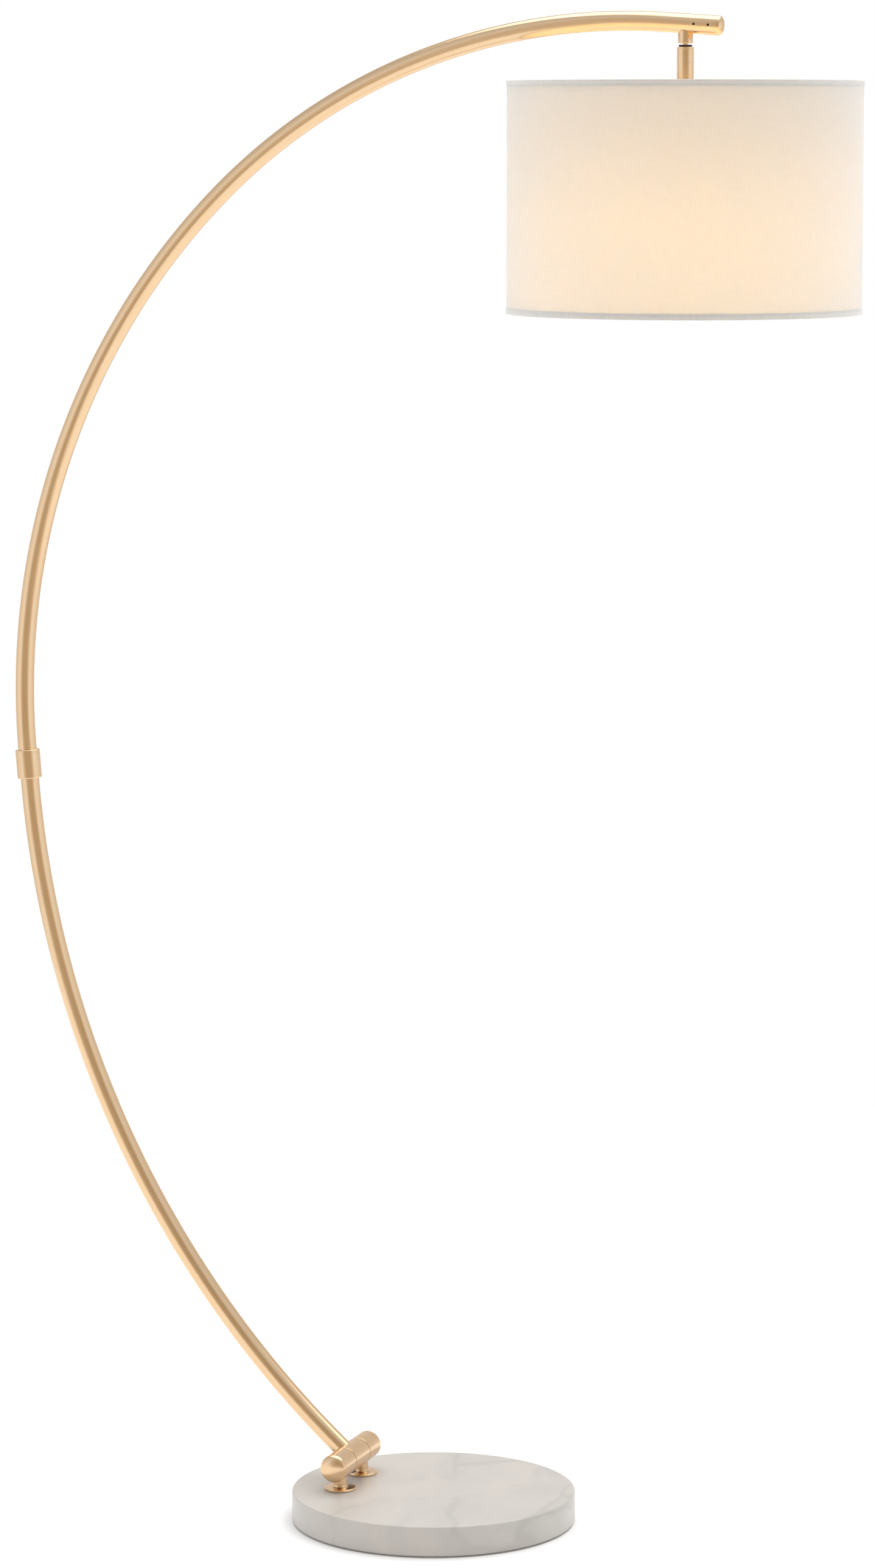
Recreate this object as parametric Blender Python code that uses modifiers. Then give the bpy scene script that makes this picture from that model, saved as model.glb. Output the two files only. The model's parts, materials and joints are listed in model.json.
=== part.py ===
"""Arc floor lamp: a marble disc, a friction hinge, a two-piece bent tube and a hanging drum shade.

Metres, +Z up. The origin is the centre of the base's underside. The arm lies in the XZ plane and
reaches towards +X, and the hinge axis lies along Y. Run it with blender --background --python part.py.
"""

from math import asin, cos, pi, radians, sin, sqrt

import bmesh
import bpy
from mathutils import Matrix, Vector

MM = 0.001
GAP = 0.3 * MM  # left between two pieces that touch
RUNNING = 0.3 * MM  # radial play of a shaft or a plug in its bore
CUT_OVER = 2.0 * MM  # how far a cutter runs past the face that it opens
EDGE = 0.5 * MM  # small bevel on turned edges

# Base
BASE_DIAMETER = 380 * MM
MARBLE_THICKNESS = 40 * MM
MARBLE_EDGE = 2.5 * MM  # rounding of the top and bottom edges
FELT_THICKNESS = 2 * MM
FELT_INSET = 4 * MM  # felt pad's rim inside the marble's

# Hinge on the base
HINGE_X = -118 * MM
HINGE_RISE = 34 * MM  # barrel axis above the marble
BARREL_DIAMETER = 37 * MM
BARREL_LENGTH = 152 * MM  # over the domed caps
CAP_DOME = 8 * MM
CENTRE_KNUCKLE = 52 * MM  # length of the moving knuckle
FRICTION_WASHER = 1.4 * MM
PIVOT_DIAMETER = 12 * MM
PIVOT_HEAD_DIAMETER = 20 * MM
PIVOT_HEAD = 7 * MM
PIVOT_GRIP = 18 * MM  # thread length inside the moving knuckle
DISC_SPRING = 1.2 * MM
CAP_SPIGOT = 4 * MM
HEAD_POCKET = 14 * MM  # depth of the end knuckle's pocket
POCKET_PLAY = 3 * MM  # room for a socket around the pivot bolt's head
SPRING_OVERHANG = 1 * MM  # disc spring past the bolt's head
WASHER_INSET = 0.2 * MM  # friction washer's rim inside the barrel's

# Feet
FOOT_SPACING = 85 * MM
FLANGE_DIAMETER = 43 * MM
FLANGE_THICKNESS = 3.5 * MM
FLANGE_EDGE = 1 * MM
POST_DIAMETER = 18 * MM
SADDLE_LEVEL = 0.75  # the post's top below the hinge axis, as a share of the barrel's radius
BOLT_DIAMETER = 8 * MM
BOLT_CLEARANCE = 0.5 * MM
BOLT_END_TO_PIVOT = 2.5 * MM
THREAD_END_TO_PIVOT = 1.8 * MM
BOLT_HEAD_DIAMETER = 13 * MM
BOLT_HEAD = 8 * MM
FOOT_WASHER_DIAMETER = 24 * MM
FOOT_WASHER = 2 * MM
COUNTERBORE_DIAMETER = 28 * MM
COUNTERBORE_DEPTH = 14 * MM

# Arm
TUBE_DIAMETER = 25 * MM
TUBE_WALL = 2 * MM
START_LEAN = 49.5  # degrees from vertical, away from the shade
LOWER_RADIUS = 1325 * MM
LOWER_SWEEP = 45
COLLAR_STRAIGHT = 40 * MM
UPPER_RADIUS = 935 * MM
UPPER_SWEEP = 50.5
CROWN_RADIUS = 800 * MM
CROWN_SWEEP = 47.9
TIP_STRAIGHT = 70 * MM
SOCKET_DEPTH = 8 * MM  # how far the tube sinks into the moving knuckle
COLLAR_DIAMETER = 33 * MM
COLLAR_LENGTH = 39 * MM
SLEEVE_WALL = 2 * MM
SLEEVE_LENGTH = 36 * MM
COLLAR_SCREW_DIAMETER = 5 * MM
COLLAR_SCREW_SPACING = 20 * MM
LEAD_DIAMETER = 4 * MM
INLET_DIAMETER = 10 * MM
INLET_FLANGE = 3 * MM
INLET_GRIP = 6 * MM
INLET_RIM = 2 * MM
LEAD_PLAY = 1 * MM  # radial room around the lead in its passages

# Arm end and hanger
END_CAP_DOME = 9 * MM
END_CAP_SKIRT = 2 * MM  # straight part of the cap under its dome
PLUG_LENGTH = 60 * MM
STEM_FROM_TUBE_END = 42 * MM
END_SCREW_DIAMETER = 3 * MM
NECK_DIAMETER = 19 * MM
NECK_LENGTH = 12.5 * MM  # below the tube
NECK_SPIGOT_DIAMETER = 16 * MM
NECK_LEAD_PLAY = 0.6 * MM
BALL_DIAMETER = 14.4 * MM
SHANK_DIAMETER = 7.2 * MM
BALL_ABOVE_NECK_END = 7.5 * MM
RETAINER_HEIGHT = 4 * MM
RETAINER_THROAT = 1.6 * MM  # room around the shank for the ball's tilt
RETAINER_MOUTH = 2.3 * MM
SWIVEL_GAP = 2 * MM  # lets the ball tilt
SWIVEL_WASHER_DIAMETER = 17 * MM
SWIVEL_WASHER = 2.5 * MM
SWIVEL_NUT_DIAMETER = 13 * MM
SWIVEL_NUT = 4 * MM

# Stem and lampholder
STEM_DIAMETER = 21.5 * MM
STEM_WALL = 1.25 * MM
PLUG_FLANGE = 2 * MM
PLUG_SPIGOT = 5 * MM
STEM_IN_SHADE = 36 * MM  # the stem's lower end, below the shade's top rim
NIPPLE_DIAMETER = 10 * MM
NIPPLE_BELOW_CAP = 1.2 * MM
HOLDER_CAP_DIAMETER = 41 * MM
HOLDER_CAP_HEIGHT = 16 * MM
HOLDER_CAP_WALL = 1.2 * MM
HOLDER_EDGE = 3 * MM
HOLDER_DIAMETER = 37 * MM
HOLDER_LENGTH = 46 * MM
HOLDER_ROOF = 8 * MM
NIPPLE_WALL = 2 * MM
NIPPLE_ABOVE_PLUG = 2 * MM
SCREW_SLEEVE_WALL = 0.5 * MM
SCREW_SLEEVE_LENGTH = 30 * MM
SCREW_SLEEVE_INSET = 3 * MM  # sleeve's lower end above the lampholder's
CONTACT_DIAMETER = 9 * MM
CONTACT_HEIGHT = 1.5 * MM
FITTER_RING_DIAMETER = 49 * MM
FITTER_RING_HEIGHT = 6 * MM
FITTER_RING_EDGE = 0.8 * MM

# Bulb
BULB_CAP_DIAMETER = 26 * MM
BULB_CAP_LENGTH = 25 * MM
BULB_DIAMETER = 60 * MM
BULB_LENGTH = 106 * MM  # cap and glass
BULB_GLASS = 1 * MM
BULB_NECK_DIAMETER = 24 * MM
BULB_NECK_LENGTH = 4 * MM
BULB_IN_CAP = 3 * MM  # glass inside the screw cap's rim
BULB_JOIN = 62  # degrees from the top of the globe to the flare
BULB_THREAD_PITCH = 3.6 * MM
BULB_THREAD_DEPTH = 0.9 * MM
BULB_THREAD_TURNS = 4

# Shade
SHADE_DIAMETER = 457 * MM  # over the hems
SHADE_HEIGHT = 296 * MM
SHADE_WALL = 1.5 * MM
SHADE_DROP = 72 * MM  # arm axis down to the shade's top rim
HEM_THICKNESS = 0.5 * MM
HEM_OUTSIDE = 7 * MM
HEM_INSIDE = 4 * MM
WIRE_DIAMETER = 3.5 * MM
WIRE_INSET = 8 * MM  # wire ring's centre inside the rim
HUB_THICKNESS = 2 * MM
SPIDER_ARMS = 3
ARM_LAP = 2.5 * MM  # weld of a spider arm on the hub
ARM_KNEE = 10 * MM  # flat stretch before the arm rises
ARM_SLIMMER = 0.9  # spider arm's diameter as a share of the ring's
ARM_SEAT = 0.1 * MM  # spider arm's underside above the hub's

# Smoothness
BIG_STEPS = 48
ROUND_STEPS = 20
SMALL_STEPS = 12
TUBE_SIDES = 16
TUBE_STATION = 60 * MM
SHARP_ANGLE = radians(35)

# Derived levels
FELT_TOP = FELT_THICKNESS - GAP
MARBLE_BOTTOM = FELT_THICKNESS
MARBLE_TOP = FELT_THICKNESS + MARBLE_THICKNESS
HINGE_Z = MARBLE_TOP + HINGE_RISE
HINGE = Vector((HINGE_X, 0, HINGE_Z))
BARREL_RADIUS = BARREL_DIAMETER / 2
TUBE_RADIUS = TUBE_DIAMETER / 2
TUBE_BORE = TUBE_RADIUS - TUBE_WALL
KNUCKLE_START = CENTRE_KNUCKLE / 2 + GAP + FRICTION_WASHER + GAP
KNUCKLE_END = BARREL_LENGTH / 2 - CAP_DOME - GAP
SOCKET_FLOOR = BARREL_RADIUS - SOCKET_DEPTH

UP = Vector((0, 0, 1))
ALONG_Y = Vector((0, 1, 0))
SIDES = {"front": -1, "rear": 1}


# ---------------------------------------------------------------- scene and materials


def clear_scene():
    for old in list(bpy.data.objects):
        bpy.data.objects.remove(old, do_unlink=True)


def make_collection(name):
    collection = bpy.data.collections.new(name)
    bpy.context.scene.collection.children.link(collection)
    return collection


def make_material(name, colour, roughness, metallic=0.0):
    material = bpy.data.materials.new(name)
    material.use_nodes = True
    shader = material.node_tree.nodes["Principled BSDF"]
    shader.inputs["Base Color"].default_value = (*colour, 1.0)
    shader.inputs["Roughness"].default_value = roughness
    shader.inputs["Metallic"].default_value = metallic
    material.diffuse_color = (*colour, 1.0)
    return material


clear_scene()
PARTS = make_collection("arc_floor_lamp")
CUTTERS = make_collection("cutters")
BRASS = make_material("satin_brass", (0.72, 0.55, 0.33), 0.28, 1.0)
STEEL = make_material("zinc_steel", (0.55, 0.55, 0.56), 0.35, 1.0)
MARBLE = make_material("white_marble", (0.70, 0.67, 0.63), 0.25)
FELT = make_material("grey_felt", (0.16, 0.15, 0.14), 0.95)
NYLON = make_material("dark_nylon", (0.10, 0.08, 0.06), 0.5)
BRONZE = make_material("bronze", (0.45, 0.28, 0.13), 0.4, 1.0)
PHENOLIC = make_material("black_phenolic", (0.03, 0.03, 0.03), 0.4)
LINEN = make_material("cream_linen", (0.92, 0.82, 0.68), 0.9)
GLASS = make_material("frosted_glass", (0.95, 0.93, 0.88), 0.3)
PVC = make_material("clear_pvc", (0.75, 0.72, 0.62), 0.35)


# ---------------------------------------------------------------- shape helpers


def turned_to(direction):
    """The rotation that takes local +Z to this direction."""
    return UP.rotation_difference(direction.normalized()).to_matrix().to_4x4()


def place(node, origin, direction):
    node.matrix_world = Matrix.Translation(origin) @ turned_to(direction)


def smooth(mesh):
    mesh.shade_smooth()
    mesh.set_sharp_from_angle(angle=SHARP_ANGLE)


def node_from_mesh(name, mesh, material):
    node = bpy.data.objects.new(name, mesh)
    PARTS.objects.link(node)
    if mesh.polygons:
        smooth(mesh)
    if material:
        mesh.materials.append(material)
    return node


def turned(name, profile, origin, direction, material, closed=False, steps=ROUND_STEPS):
    """A turned piece: profile is (radius, height) points that run down the outer side."""
    mesh = bpy.data.meshes.new(name)
    points = [(radius, 0, height) for radius, height in profile]
    edges = [(i, i + 1) for i in range(len(points) - 1)]
    if closed:
        edges.append((len(points) - 1, 0))
    mesh.from_pydata(points, edges, [])
    node = node_from_mesh(name, mesh, material)
    screw = node.modifiers.new("turn", "SCREW")
    screw.axis = "Z"
    screw.angle = 2 * pi
    screw.steps = steps
    screw.render_steps = steps
    screw.use_merge_vertices = True
    screw.merge_threshold = 0.00001
    screw.use_smooth_shade = True
    place(node, origin, direction)
    return node


def ring(name, inner, outer, low, high, origin, direction, material, steps=ROUND_STEPS):
    """A plain ring between two radii and two heights along its axis."""
    profile = [(inner, high), (outer, high), (outer, low), (inner, low)]
    return turned(name, profile, origin, direction, material, closed=True, steps=steps)


def hide_as_tool(node):
    """Makes a shape a hidden tool, for a Boolean."""
    PARTS.objects.unlink(node)
    CUTTERS.objects.link(node)
    node.hide_render = True
    node.display_type = "WIRE"


def rod_mesh(name, radius, length, sides):
    """A closed prism of this radius from height 0 to length."""
    mesh = bpy.data.meshes.new(name)
    shape = bmesh.new()
    bmesh.ops.create_cone(
        shape, cap_ends=True, segments=sides, radius1=radius, radius2=radius, depth=length
    )
    bmesh.ops.translate(shape, verts=shape.verts, vec=(0, 0, length / 2))
    shape.to_mesh(mesh)
    shape.free()
    return mesh


def cutter(name, radius, start, end, sides=ROUND_STEPS):
    """A hidden rod from start to end, for a Boolean."""
    node = node_from_mesh(name, rod_mesh(name, radius, (end - start).length, sides), None)
    hide_as_tool(node)
    place(node, start, end - start)
    return node


def combine(node, other, operation):
    boolean = node.modifiers.new(other.name, "BOOLEAN")
    boolean.operation = operation
    boolean.solver = "EXACT"
    boolean.object = other


def cut(node, *others):
    for other in others:
        combine(node, other, "DIFFERENCE")


def cap_screw(name, shank, length, head, head_height, start, direction, material):
    """A socket-head screw: the shank starts at start and runs along direction into the work."""
    edge = 0.6 * MM
    profile = [
        (0, head_height),
        (head - edge, head_height),
        (head, head_height - edge),
        (head, 0),
        (shank, 0),
        (shank, edge - length),
        (shank - edge, -length),
        (0, -length),
    ]
    screw = turned(name, profile, start, -direction, material, steps=SMALL_STEPS)
    outside = start - direction * (head_height + CUT_OVER)
    cut(screw, cutter(name + "_key", head * 0.5, outside, start - direction * head_height * 0.35, 6))
    return screw


def set_screw(name, radius, inner, outer, direction, material):
    """A headless screw between two points on its axis, with a hexagon recess at its outer end."""
    length = (outer - inner).length
    screw = node_from_mesh(name, rod_mesh(name, radius, length, SMALL_STEPS), material)
    place(screw, inner, direction)
    top = outer + direction * CUT_OVER
    cut(screw, cutter(name + "_key", radius * 0.5, inner + direction * length * 0.5, top, 6))
    return screw


# ---------------------------------------------------------------- the arm's line

ARM_BENDS = (
    (LOWER_RADIUS, radians(LOWER_SWEEP) * LOWER_RADIUS),
    (None, COLLAR_STRAIGHT),
    (UPPER_RADIUS, radians(UPPER_SWEEP) * UPPER_RADIUS),
    (CROWN_RADIUS, radians(CROWN_SWEEP) * CROWN_RADIUS),
    (None, TIP_STRAIGHT),
)
COLLAR_AT = ARM_BENDS[0][1] + COLLAR_STRAIGHT / 2
TUBE_END = sum(length for _, length in ARM_BENDS)
STEM_AT = TUBE_END - STEM_FROM_TUBE_END


def arm_point(distance):
    """The point and the unit direction of the arm's centre line, this far from the hinge axis."""
    x, z, lean = HINGE_X, HINGE_Z, -radians(START_LEAN)
    for radius, length in ARM_BENDS:
        step = min(distance, length)
        if radius is None:
            x += step * sin(lean)
            z += step * cos(lean)
        else:
            turn = step / radius
            x += radius * (cos(lean) - cos(lean + turn))
            z += radius * (sin(lean + turn) - sin(lean))
            lean += turn
        distance -= step
        if distance <= 0:
            break
    return Vector((x, 0, z)), Vector((sin(lean), 0, cos(lean)))


def arm_stations(start, end):
    """Distances along the arm between two others: close together on a bend, only the ends of a straight.

    A short stretch at each end keeps the end faces square to the arm's line.
    """
    found = [start]
    low = 0
    for radius, length in ARM_BENDS:
        first, last = max(low, start + TUBE_RADIUS), min(low + length, end - TUBE_RADIUS)
        low += length
        if last <= first:
            continue
        count = 1 if radius is None else max(round((last - first) / TUBE_STATION), 1)
        if first == start + TUBE_RADIUS:
            found.append(first)
        found += [first + (last - first) * (index + 1) / count for index in range(count)]
    return found + [end]


def arm_curve(name, start, end, radius, sides, filled):
    """A mesh tube along the arm's line between two distances from the hinge."""
    data = bpy.data.curves.new(name, "CURVE")
    data.dimensions = "3D"
    data.bevel_depth = radius
    data.bevel_resolution = (sides - 4) // 2
    data.use_fill_caps = filled
    distances = arm_stations(start, end)
    spline = data.splines.new("POLY")
    spline.points.add(len(distances) - 1)
    for point, distance in zip(spline.points, distances):
        point.co = (*arm_point(distance)[0], 1)
    return mesh_from_curve(name, data)


def mesh_from_curve(name, data):
    guide = bpy.data.objects.new(name + "_guide", data)
    PARTS.objects.link(guide)
    graph = bpy.context.evaluated_depsgraph_get()
    mesh = bpy.data.meshes.new_from_object(guide.evaluated_get(graph))
    shape = bmesh.new()
    shape.from_mesh(mesh)
    bmesh.ops.remove_doubles(shape, verts=shape.verts, dist=0.00001)
    bmesh.ops.recalc_face_normals(shape, faces=shape.faces)
    shape.to_mesh(mesh)
    shape.free()
    mesh.name = name
    bpy.data.objects.remove(guide, do_unlink=True)
    bpy.data.curves.remove(data)
    return mesh


def wire(name, points, diameter, material):
    """A closed round wire through a few points."""
    data = bpy.data.curves.new(name, "CURVE")
    data.dimensions = "3D"
    data.bevel_depth = diameter / 2
    data.bevel_resolution = 2
    data.use_fill_caps = True
    spline = data.splines.new("POLY")
    spline.points.add(len(points) - 1)
    for point, spot in zip(spline.points, points):
        point.co = (*spot, 1)
    return node_from_mesh(name, mesh_from_curve(name, data), material)


# ---------------------------------------------------------------- base and feet


def foot_spot(side, height):
    return Vector((HINGE_X, SIDES[side] * FOOT_SPACING / 2, height))


def make_base():
    radius = BASE_DIAMETER / 2
    edge = MARBLE_EDGE
    low, high = MARBLE_BOTTOM, MARBLE_TOP
    profile = [(0, high)]
    profile += [(radius - edge + edge * sin(a), high - edge + edge * cos(a)) for a in (0, pi / 4, pi / 2)]
    profile += [(radius - edge + edge * cos(a), low + edge - edge * sin(a)) for a in (0, pi / 4, pi / 2)]
    profile.append((0, low))
    marble = turned("marble_base", profile, Vector(), UP, MARBLE, steps=BIG_STEPS)
    clearance = BOLT_DIAMETER / 2 + BOLT_CLEARANCE
    for side in SIDES:
        below = foot_spot(side, low - CUT_OVER)
        hole = cutter("bolt_hole_" + side, clearance, below, foot_spot(side, high + CUT_OVER))
        pocket_top = foot_spot(side, low + COUNTERBORE_DEPTH)
        pocket = cutter("bolt_pocket_" + side, COUNTERBORE_DIAMETER / 2, below, pocket_top)
        cut(marble, hole, pocket)
    felt_radius = radius - FELT_INSET
    felt_profile = [(0, FELT_TOP), (felt_radius, FELT_TOP), (felt_radius, 0), (0, 0)]
    turned("felt_pad", felt_profile, Vector(), UP, FELT, steps=BIG_STEPS)


def make_foot(side):
    hole = BOLT_DIAMETER / 2 + RUNNING
    centre = foot_spot(side, 0)
    low = MARBLE_TOP + GAP
    high = low + FLANGE_THICKNESS
    outer = FLANGE_DIAMETER / 2
    edge = FLANGE_EDGE
    flange = [(hole, high), (outer - edge, high), (outer, high - edge), (outer, low), (hole, low)]
    turned("foot_flange_" + side, flange, centre, UP, BRASS, closed=True)
    post_low = high + GAP
    post_high = HINGE_Z - BARREL_RADIUS * SADDLE_LEVEL
    post = ring("foot_post_" + side, hole, POST_DIAMETER / 2, post_low, post_high, centre, UP, BRASS)
    reach = ALONG_Y * FLANGE_DIAMETER
    spot = foot_spot(side, HINGE_Z)
    cut(post, cutter("saddle_" + side, BARREL_RADIUS + GAP, spot - reach, spot + reach))
    pocket_roof = MARBLE_BOTTOM + COUNTERBORE_DEPTH
    washer_high = pocket_roof - GAP
    washer_low = washer_high - FOOT_WASHER
    washer = FOOT_WASHER_DIAMETER / 2
    ring("foot_washer_" + side, hole, washer, washer_low, washer_high, centre, UP, STEEL, SMALL_STEPS)
    start = washer_low - GAP
    top = HINGE_Z - PIVOT_DIAMETER / 2 - BOLT_END_TO_PIVOT
    cap_screw(
        "foot_bolt_" + side,
        BOLT_DIAMETER / 2,
        top - start,
        BOLT_HEAD_DIAMETER / 2,
        BOLT_HEAD,
        foot_spot(side, start),
        UP,
        STEEL,
    )


# ---------------------------------------------------------------- hinge


def make_end_knuckle(side):
    way = ALONG_Y * SIDES[side]
    bore = PIVOT_DIAMETER / 2 + RUNNING
    pocket = PIVOT_HEAD_DIAMETER / 2 + POCKET_PLAY
    floor = KNUCKLE_END - HEAD_POCKET
    edge = EDGE
    profile = [
        (pocket, KNUCKLE_END),
        (BARREL_RADIUS - edge, KNUCKLE_END),
        (BARREL_RADIUS, KNUCKLE_END - edge),
        (BARREL_RADIUS, KNUCKLE_START + edge),
        (BARREL_RADIUS - edge, KNUCKLE_START),
        (bore, KNUCKLE_START),
        (bore, floor),
        (pocket, floor),
    ]
    knuckle = turned("hinge_knuckle_" + side, profile, HINGE, way, BRASS, closed=True)
    hole_top = HINGE_Z - PIVOT_DIAMETER / 2 - THREAD_END_TO_PIVOT
    below = foot_spot(side, HINGE_Z - BARREL_RADIUS - CUT_OVER)
    cut(knuckle, cutter("foot_thread_" + side, BOLT_DIAMETER / 2 + RUNNING, below, foot_spot(side, hole_top)))

    spigot = pocket - RUNNING
    cap_start = BARREL_LENGTH / 2 - CAP_DOME
    dome = [
        (BARREL_RADIUS * sin(a), cap_start + CAP_DOME * cos(a))
        for a in (0, pi / 8, pi / 4, 3 * pi / 8, pi / 2)
    ]
    spigot_end = cap_start - GAP - CAP_SPIGOT
    cap = dome + [(spigot, cap_start), (spigot, spigot_end), (0, spigot_end)]
    turned("barrel_cap_" + side, cap, HINGE, way, BRASS)

    spring_low = floor + GAP
    spring_high = spring_low + DISC_SPRING
    spring = PIVOT_HEAD_DIAMETER / 2 + SPRING_OVERHANG
    ring("disc_spring_" + side, bore, spring, spring_low, spring_high, HINGE, way, STEEL, SMALL_STEPS)
    head_start = spring_high + GAP
    inner_end = CENTRE_KNUCKLE / 2 - PIVOT_GRIP
    cap_screw(
        "pivot_bolt_" + side,
        PIVOT_DIAMETER / 2,
        head_start - inner_end,
        PIVOT_HEAD_DIAMETER / 2,
        PIVOT_HEAD,
        HINGE + way * head_start,
        -way,
        STEEL,
    )
    low = CENTRE_KNUCKLE / 2 + GAP
    high = low + FRICTION_WASHER
    outer = BARREL_RADIUS - WASHER_INSET
    ring("friction_washer_" + side, bore, outer, low, high, HINGE, way, BRONZE)


def make_centre_knuckle():
    half = CENTRE_KNUCKLE / 2
    edge = EDGE
    profile = [
        (0, half),
        (BARREL_RADIUS - edge, half),
        (BARREL_RADIUS, half - edge),
        (BARREL_RADIUS, edge - half),
        (BARREL_RADIUS - edge, -half),
        (0, -half),
    ]
    barrel = turned("hinge_barrel", profile, HINGE, ALONG_Y, BRASS)
    thread = PIVOT_DIAMETER / 2 + RUNNING
    inner_end = half - PIVOT_GRIP - GAP
    for side, sign in SIDES.items():
        way = ALONG_Y * sign
        outside = HINGE + way * (half + CUT_OVER)
        cut(barrel, cutter("pivot_thread_" + side, thread, HINGE + way * inner_end, outside))
    _, along = arm_point(SOCKET_FLOOR)
    socket_top = HINGE + along * (BARREL_RADIUS + CUT_OVER)
    socket = cutter("tube_socket", TUBE_RADIUS + RUNNING, HINGE + along * SOCKET_FLOOR, socket_top)
    passage = LEAD_DIAMETER / 2 + LEAD_PLAY
    upper_way = cutter("lead_way_upper", passage, HINGE - along * passage, socket_top)
    below = HINGE - UP * (BARREL_RADIUS + CUT_OVER)
    lower_way = cutter("lead_way_lower", passage, HINGE, below)
    seat_top = HINGE - UP * (BARREL_RADIUS - INLET_GRIP - GAP)
    inlet = cutter("inlet_seat", INLET_DIAMETER / 2, seat_top, below)
    cut(barrel, socket, upper_way, lower_way, inlet)

    bore = LEAD_DIAMETER / 2 + RUNNING
    spigot = INLET_DIAMETER / 2 - RUNNING
    flange = spigot + INLET_RIM
    top = -(BARREL_RADIUS - INLET_GRIP)
    seat = -(BARREL_RADIUS + GAP)
    bottom = seat - INLET_FLANGE
    bush = [
        (bore, top),
        (spigot, top),
        (spigot, seat),
        (flange, seat),
        (flange - 2 * EDGE, bottom),
        (bore + 2 * EDGE, bottom),
        (bore, bottom + 2 * EDGE),
    ]
    turned("cord_inlet_bush", bush, HINGE, UP, NYLON, closed=True, steps=SMALL_STEPS)


# ---------------------------------------------------------------- arm


def make_tube(name, start, end):
    mesh = arm_curve(name, start, end, TUBE_RADIUS, TUBE_SIDES, filled=False)
    tube = node_from_mesh(name, mesh, BRASS)
    wall = tube.modifiers.new("wall", "SOLIDIFY")
    wall.thickness = TUBE_WALL
    wall.offset = -1
    wall.use_even_offset = True
    return tube


def make_arm():
    make_tube("lower_arm_tube", SOCKET_FLOOR + GAP, COLLAR_AT - GAP)
    upper = make_tube("upper_arm_tube", COLLAR_AT + GAP, TUBE_END)
    stem, _ = arm_point(STEM_AT)
    hole = cutter("neck_hole", NECK_SPIGOT_DIAMETER / 2 + RUNNING, stem - UP * TUBE_DIAMETER, stem)
    cut(upper, hole)
    for index, spot in enumerate(end_screw_spots()):
        radius = END_SCREW_DIAMETER / 2 + RUNNING
        start = spot - ALONG_Y * TUBE_BORE * 0.5
        cut(upper, cutter(f"end_screw_hole_{index}", radius, start, spot - ALONG_Y * TUBE_DIAMETER))

    centre, along = arm_point(COLLAR_AT)
    half = SLEEVE_LENGTH / 2
    outer = TUBE_BORE - RUNNING
    ring("joint_sleeve", outer - SLEEVE_WALL, outer, -half, half, centre, along, STEEL)
    make_collar(centre, along)


def make_collar(centre, along):
    inner = TUBE_RADIUS + RUNNING
    outer = COLLAR_DIAMETER / 2
    half = COLLAR_LENGTH / 2
    edge = 1.5 * MM
    profile = [
        (inner, half),
        (outer - edge, half),
        (outer, half - edge),
        (outer, edge - half),
        (outer - edge, -half),
        (inner, -half),
    ]
    collar = turned("joint_collar", profile, centre, along, BRASS, closed=True)
    radius = COLLAR_SCREW_DIAMETER / 2
    for name, sign in {"upper": 1, "lower": -1}.items():
        spot = centre + along * sign * COLLAR_SCREW_SPACING / 2
        outside = spot + ALONG_Y * (outer + CUT_OVER)
        cut(collar, cutter("collar_thread_" + name, radius + RUNNING, spot + ALONG_Y * TUBE_BORE, outside))
        start = spot + ALONG_Y * (inner + GAP)
        end = spot + ALONG_Y * (outer - GAP)
        set_screw("collar_screw_" + name, radius, start, end, ALONG_Y, STEEL)


def end_screw_spots():
    """Points on the arm's line behind the two screws that hold the end plug."""
    half_neck = NECK_SPIGOT_DIAMETER / 2
    outer = arm_point(TUBE_END - END_SCREW_DIAMETER * 3)[0]
    inner = arm_point(STEM_AT + half_neck + END_SCREW_DIAMETER * 2)[0]
    return outer, inner


def make_end_plug():
    """The rounded end cap and, in one piece with it, the long plug that carries the hanger."""
    end, along = arm_point(TUBE_END)
    plug = TUBE_BORE - RUNNING
    dome = [
        (TUBE_RADIUS * sin(a), GAP + END_CAP_SKIRT + (END_CAP_DOME - END_CAP_SKIRT) * cos(a))
        for a in (0, pi / 8, pi / 4, 3 * pi / 8, pi / 2)
    ]
    profile = dome + [(TUBE_RADIUS, GAP), (plug, GAP), (plug, -PLUG_LENGTH), (0, -PLUG_LENGTH)]
    cap = turned("arm_end_cap", profile, end, along, BRASS)
    stem, _ = arm_point(STEM_AT)
    cross = NECK_SPIGOT_DIAMETER / 2 + RUNNING
    reach = UP * TUBE_DIAMETER
    neck_seat = cutter("neck_seat", cross, stem - reach, stem + UP * NECK_SPIGOT_TOP + UP * GAP)
    passage = LEAD_DIAMETER / 2 + LEAD_PLAY
    inner_end = end - along * (PLUG_LENGTH + CUT_OVER)
    cut(cap, neck_seat, cutter("plug_lead_way", passage, inner_end, stem))
    for index, spot in enumerate(end_screw_spots()):
        name = ("outer", "inner")[index]
        radius = END_SCREW_DIAMETER / 2
        floor = spot - ALONG_Y * TUBE_BORE * 0.45
        cut(cap, cutter("plug_thread_" + name, radius + RUNNING, floor, spot - ALONG_Y * TUBE_DIAMETER))
        start = floor - ALONG_Y * GAP
        outside = spot - ALONG_Y * (TUBE_RADIUS - GAP)
        set_screw("end_screw_" + name, radius, start, outside, -ALONG_Y, STEEL)


# ---------------------------------------------------------------- hanger and ball swivel

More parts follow.
